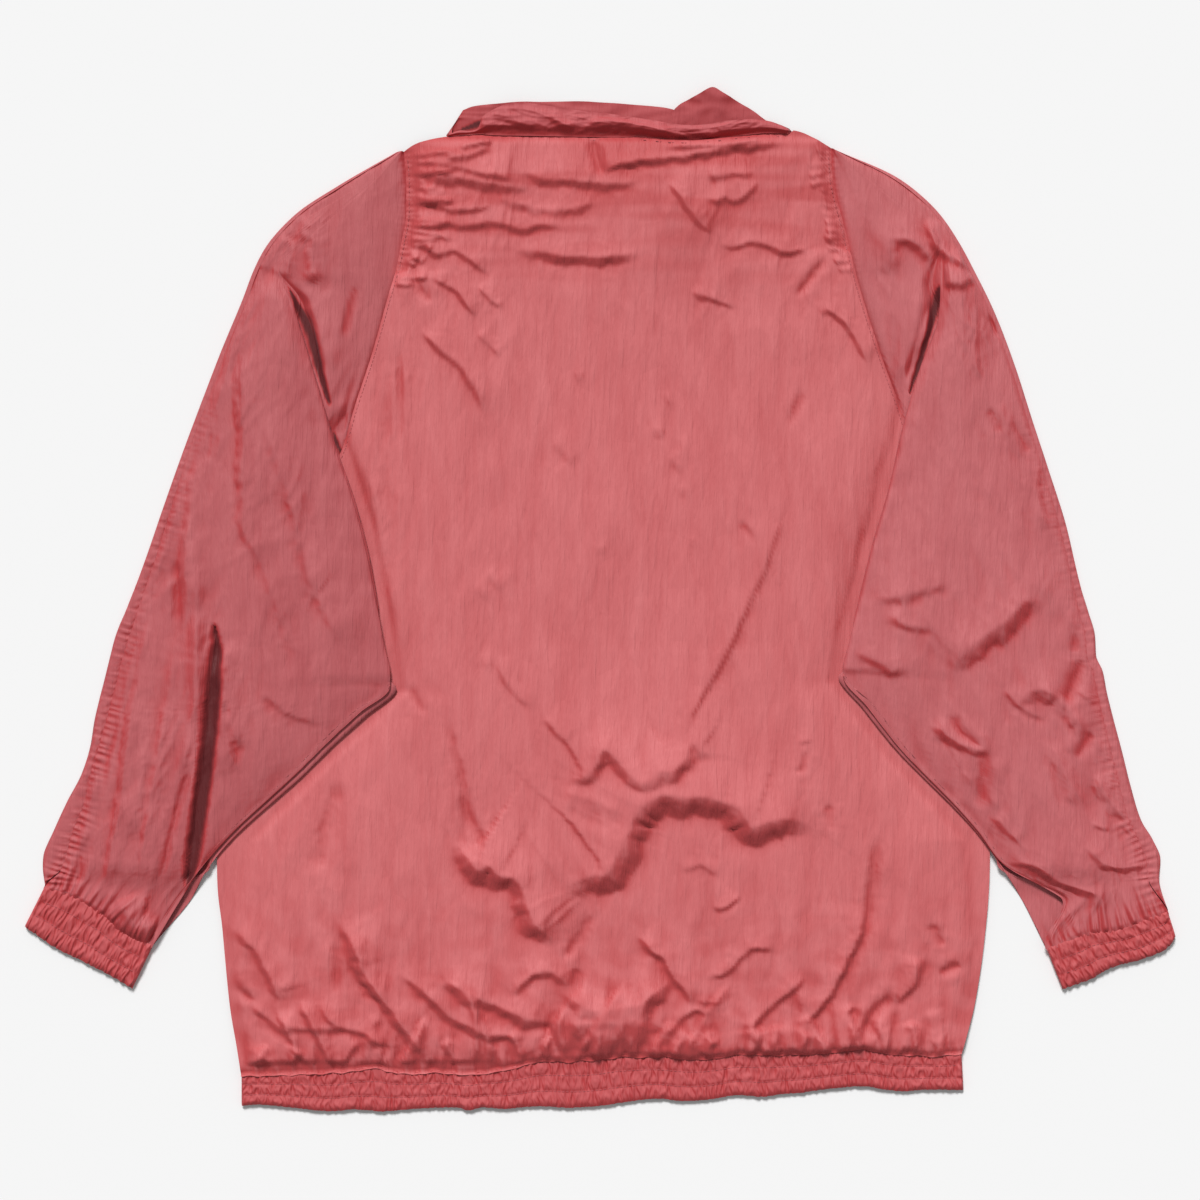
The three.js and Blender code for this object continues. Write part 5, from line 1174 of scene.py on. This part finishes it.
def make_cuff(side):
    n, rows = int(170 * FINE), int(26 * FINE)
    top, end = spaced(CUFF[side]["top"], n), spaced(CUFF[side]["bottom"], n)
    r = 1.8
    ang = np.linspace(0, math.pi, 10)[1:-1]

    def loop(line):
        a, b = line[0], line[-1]
        d = (b - a) / np.linalg.norm(b - a)
        k = r / STEP
        pts = [p for p in line[3:-3]] + [b - d * k + d * k * math.sin(q) for q in ang] + [p for p in line[3:-3][::-1]] + [a + d * k - d * k * math.sin(q) for q in ang]
        m = len(line) - 6
        z = [LOW + 2 * r] * m + [LOW + r + r * math.cos(q) for q in ang] + [LOW] * m + [LOW + r - r * math.cos(q) for q in ang]
        sd = [1.0] * m + [math.cos(q) for q in ang] + [-1.0] * m + [-math.cos(q) for q in ang]
        return np.array(pts), np.array(z), np.array(sd)

    a, high, sd = loop(top)
    b, _, _ = loop(end)
    v = np.linspace(0, 1, rows + 1)[:, None]
    x = a[None, :, 0] * (1 - v) + b[None, :, 0] * v
    y = a[None, :, 1] * (1 - v) + b[None, :, 1] * v
    s = np.concatenate([[0], np.cumsum(np.linalg.norm(np.diff(a, axis=0), axis=1))])
    aa, vv = np.broadcast_to(s[None], x.shape), np.broadcast_to(v, x.shape)
    gather, puff = ruched(aa, vv, 3, 4, 5.6, 1.6)
    z = high[None] + np.where(sd > 0, 0.8 * puff + gather, 0) * np.abs(sd) + np.where(sd < 0, 0.4 * np.abs(gather), 0)
    z -= np.where(sd > 0, np.exp(-(((vv - 1) / 0.05) ** 2)), 0)
    y = y + np.where(sd[None] > 0, 0.9 * gather * step(vv, 0.85, 1.0), 0)
    z = np.maximum(z, 0.2)
    return build(f"cuff_{side}_cloth", metres(x, y, z), MAT_ELASTIC, ring=True, flip=side == "right")


# ------------------------------------------------------------------ stitches and zip teeth
def blocks(name, centres, along, size, material):
    """Small bevelled blocks: centres and directions in metres, size is length, width and height in metres."""
    c, a = np.asarray(centres, float), np.asarray(along, float)
    a = a / np.linalg.norm(a, axis=1)[:, None]
    b = np.cross(np.array([0.0, 0.0, 1.0])[None], a)
    b = b / np.linalg.norm(b, axis=1)[:, None]
    u = np.cross(a, b)
    l, w, h = (v / 2 for v in size)
    ring = [(-l, 0.6), (-0.7 * l, 1.0), (0.7 * l, 1.0), (l, 0.6)]
    verts = []
    for x, k in ring:
        for y, z in ((-w, -h), (w, -h), (w, 0.4 * h), (0.55 * w, h), (-0.55 * w, h), (-w, 0.4 * h)):
            verts.append(c + a * x + b * y * k + u * z * k)
    v = np.stack(verts, 1)
    faces = []
    for r in range(3):
        for q in range(6):
            faces.append((r * 6 + q, r * 6 + (q + 1) % 6, r * 6 + 6 + (q + 1) % 6, r * 6 + 6 + q))
    caps = [tuple(range(5, -1, -1)), tuple(range(18, 24))]
    mesh = bpy.data.meshes.new(name)
    every = [tuple(24 * i + k for k in f) for i in range(len(c)) for f in faces + caps]
    mesh.from_pydata([tuple(p) for p in v.reshape(-1, 3)], [], every)
    mesh.update()
    mesh.materials.append(material)
    o = bpy.data.objects.new(name, mesh)
    bpy.context.scene.collection.objects.link(o)
    return o


def stitched(name, cloth, lines, above=1.2, pitch=3.0, long=2.1, wide=0.5):
    """Rows of thread on the upper face of a cloth, along lines in chart steps."""
    n = len(cloth.data.vertices)
    co = np.zeros(3 * n, np.float32)
    cloth.data.vertices.foreach_get("co", co)
    co = co.reshape(-1, 3).astype(float)
    co = co[co[:, 2] > above / 1000]
    centres, ways = [], []
    for line in lines:
        q = np.asarray(line, float)
        xy = np.stack([(q[:, 0] - MIDX) * STEP / 1000, (MIDY - q[:, 1]) * STEP / 1000], 1)
        s = np.concatenate([[0], np.cumsum(np.linalg.norm(np.diff(xy, axis=0), axis=1))])
        at = np.arange(pitch / 2000, s[-1] - pitch / 2000, pitch / 1000)
        px, py = np.interp(at, s, xy[:, 0]), np.interp(at, s, xy[:, 1])
        zs = np.zeros((3, len(at)))
        for j, off in enumerate((-0.5, 0.0, 0.5)):
            ox, oy = np.interp(at + off * long / 1000, s, xy[:, 0]), np.interp(at + off * long / 1000, s, xy[:, 1])
            for i in range(0, len(at), 64):
                d = (ox[i : i + 64, None] - co[None, :, 0]) ** 2 + (oy[i : i + 64, None] - co[None, :, 1]) ** 2
                zs[j, i : i + 64] = co[np.argmin(d, axis=1), 2]
        dx = np.interp(at + 0.0005, s, xy[:, 0]) - np.interp(at - 0.0005, s, xy[:, 0])
        dy = np.interp(at + 0.0005, s, xy[:, 1]) - np.interp(at - 0.0005, s, xy[:, 1])
        rise = np.clip((zs[2] - zs[0]) / long, -0.0006, 0.0006)
        centres.append(np.stack([px, py, zs.mean(0) + 0.0001], 1))
        ways.append(np.stack([dx, dy, rise], 1))
    return blocks(name, np.vstack(centres), np.vstack(ways), (long / 1000, wide / 1000, wide / 1000), MAT_THREAD)


def beside(line, off):
    """A line moved sideways by off chart steps, to the right of its run."""
    q = np.asarray(line, float)
    d = np.gradient(q, axis=0)
    d = d / np.maximum(np.linalg.norm(d, axis=1), 1e-9)[:, None]
    return q + np.stack([-d[:, 1], d[:, 0]], 1) * off


def between(top, bottom, v, cut=0.0):
    a, b = spaced(top, 200), spaced(bottom, 200)
    k = int(200 * cut)
    return (a * (1 - v) + b * v)[k : len(a) - k or None]


def make_teeth():
    """Moulded teeth on both sides of the zip's centre line, over the height of the solid chain."""
    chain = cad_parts["zip_chain"]
    co = np.array([tuple(chain.matrix_world @ v.co) for v in chain.data.vertices])
    low, high = co[np.argmin(co[:, 1])], co[np.argmax(co[:, 1])]
    (x0, y0), (x1, y1) = CENTRE_FRONT
    d = np.array([(x0 - x1), (y1 - y0)]) * STEP / 1000
    d /= np.linalg.norm(d)
    side = np.array([-d[1], d[0]])
    mid = co[:, :2].mean(0)
    s = (co[:, :2] - mid) @ d
    across = (co[:, :2] - mid) @ side
    half = np.abs(across).max()
    at = np.arange(s.min() + 0.001, s.max() - 0.001, 0.00125)
    order = np.argsort(s)
    bins = np.linspace(s.min(), s.max(), 40)
    lo = np.array([co[np.abs(s - v) <= max(np.sort(np.abs(s - v))[:8]), 2].min() for v in bins])
    hi = np.array([co[np.abs(s - v) <= max(np.sort(np.abs(s - v))[:8]), 2].max() for v in bins])
    zlo, zhi = np.interp(at, bins, lo), np.interp(at, bins, hi)
    sign = np.where(np.arange(len(at)) % 2 == 0, 1.0, -1.0)
    xy = mid[None] + at[:, None] * d[None] + (sign * half * 0.42)[:, None] * side[None]
    tall = float(np.median(zhi - zlo))
    c = np.stack([xy[:, 0], xy[:, 1], (zlo + zhi) / 2], 1)
    way = np.concatenate([np.repeat(side[None], len(at), 0) * sign[:, None], np.zeros((len(at), 1))], 1)
    return blocks("zip_teeth", c, way, (half * 1.12, 0.00145, tall), MAT_TOOTH)


# ------------------------------------------------------------------ the pieces
back = make_back()
sleeve = {}
for side_name, rows_, mat, folds, saddle, ang_, open_, below_ in (("left", left, MAT_LEFT, LEFT_FOLDS, LEFT_SADDLE, math.radians(20), LEFT_HOLLOW, LEFT_UNDER), ("right", right, MAT_RIGHT, RIGHT_FOLDS, RIGHT_SADDLE, math.radians(-18), RIGHT_HOLLOW, RIGHT_UNDER)):
    sleeve["back_" + side_name] = make_upper(rows_, side_name, mat, folds, saddle, ang_, open_, below_)
    sleeve["front_" + side_name] = make_lower(rows_, side_name, mat, ang_)
fronts = {s: make_front(s) for s in ("left", "right")}
collar = make_collar()
band = make_waistband()
cuffs = {s: make_cuff(s) for s in ("left", "right")}

SHEETS = [
    (back, "back", "shell", "laid", ["front_left", "front_right"]),
    (sleeve["back_left"], "sleeve_back_left", "shell", "folded", ["back"]),
    (sleeve["back_right"], "sleeve_back_right", "shell", "folded", ["back"]),
    (sleeve["front_left"], "sleeve_front_left", "shell", "folded", ["back"]),
    (sleeve["front_right"], "sleeve_front_right", "shell", "folded", ["back"]),
    (fronts["left"], "front_left", "shell", "laid", []),
    (fronts["right"], "front_right", "shell", "laid", []),
    (collar, "collar", "shell", "folded", ["front_left", "front_right"]),
    (band, "waistband", "elastic", "gathered", []),
    (cuffs["left"], "cuff_left", "elastic", "gathered", []),
    (cuffs["right"], "cuff_right", "elastic", "gathered", []),
]
BODY = "jacket"
for o, node, slot, held, rests in SHEETS:
    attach(o, BODY)
    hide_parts(node)

waist_cut = [between(WAIST_SEAM, WAIST_EDGE, v, 0.006) for v in (1 / 3, 2 / 3)]
THREADS = [
    (stitched("stitches_waist", band, waist_cut, above=3.0), "elastic"),
    (stitched("stitches_back", back, [beside(armhole(left, "left", 120)[2:84], -3.0), beside(armhole(right, "right", 120)[2:84], 3.0), beside(spaced(NECK_SEAM, 200)[4:-4], 3.2)]), "shell"),
]
for s_ in ("left", "right"):
    rows_on_cuff = [between(CUFF[s_]["top"], CUFF[s_]["bottom"], v, 0.04) for v in (1 / 3, 2 / 3)]
    THREADS.append((stitched(f"stitches_cuff_{s_}", cuffs[s_], rows_on_cuff, above=3.0), "elastic"))
for o, slot in THREADS:
    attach(o, BODY)
teeth = make_teeth()
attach(teeth, BODY)
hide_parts("zip_chain")

FLAT = {
    "back": ((0.62, 0.68), 0.31), "sleeve_back_left": ((0.27, 0.65), 0.097), "sleeve_back_right": ((0.25, 0.65), 0.085),
    "sleeve_front_left": ((0.22, 0.65), 0.068), "sleeve_front_right": ((0.20, 0.65), 0.062), "front_left": ((0.31, 0.67), 0.163), "front_right": ((0.31, 0.66), 0.140),
    "collar": ((0.48, 0.055), 0.0152), "waistband": ((1.04, 0.036), None), "cuff_left": ((0.20, 0.040), None), "cuff_right": ((0.19, 0.034), None),
}
for o, node, slot, held, rests in SHEETS:
    flat, area = FLAT[node]
    o if area else o

for node, mat in (("zip_tape_left", MAT_TAPE), ("zip_tape_right", MAT_TAPE), ("zip_slider", MAT_METAL), ("zip_pull", MAT_METAL)):
    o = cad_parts[node]
    o.data.materials.clear()
    o.data.materials.append(mat)

# ------------------------------------------------------------------ floor, light, camera
floor_mesh = bpy.data.meshes.new("floor")
floor_mesh.from_pydata([(-6, -6, 0), (6, -6, 0), (6, 6, 0), (-6, 6, 0)], [], [(0, 1, 2, 3)])
floor = bpy.data.objects.new("floor", floor_mesh)
fm, ft, fp = nodes_of("floor_paper")
fp.inputs["Base Color"].default_value = (0.86, 0.86, 0.86, 1)
fp.inputs["Roughness"].default_value = 0.9
fp.inputs["Specular IOR Level"].default_value = 0.1
floor_mesh.materials.append(fm)
bpy.context.scene.collection.objects.link(floor)
floor.location = (0, 0, -0.0002)

scene = bpy.context.scene
scene.view_settings.view_transform = "Standard"
world = bpy.data.worlds.new("studio")
scene.world = world
world.use_nodes = True
world.node_tree.nodes["Background"].inputs[0].default_value = (1.0, 1.0, 1.0, 1)
world.node_tree.nodes["Background"].inputs[1].default_value = 0.33


key_data = bpy.data.lights.new("key", "SUN")
key_data.energy, key_data.angle = 3.32, math.radians(16)
key = bpy.data.objects.new("key", key_data)
key.location = (-0.6, 2.9, 3.0)
key.rotation_euler = Vector((0.15, -0.72, -0.72)).to_track_quat("-Z", "Y").to_euler()
scene.collection.objects.link(key)

cam_data = bpy.data.cameras.new("camera")
cam = bpy.data.objects.new("camera", cam_data)
cam_data.lens, cam_data.sensor_width = 85, 36
cam.location = ((600 - MIDX) * STEP / 1000, (MIDY - 600) * STEP / 1000, 85 / 36 * 1200 * STEP / 1000)
scene.collection.objects.link(cam)
scene.camera = cam
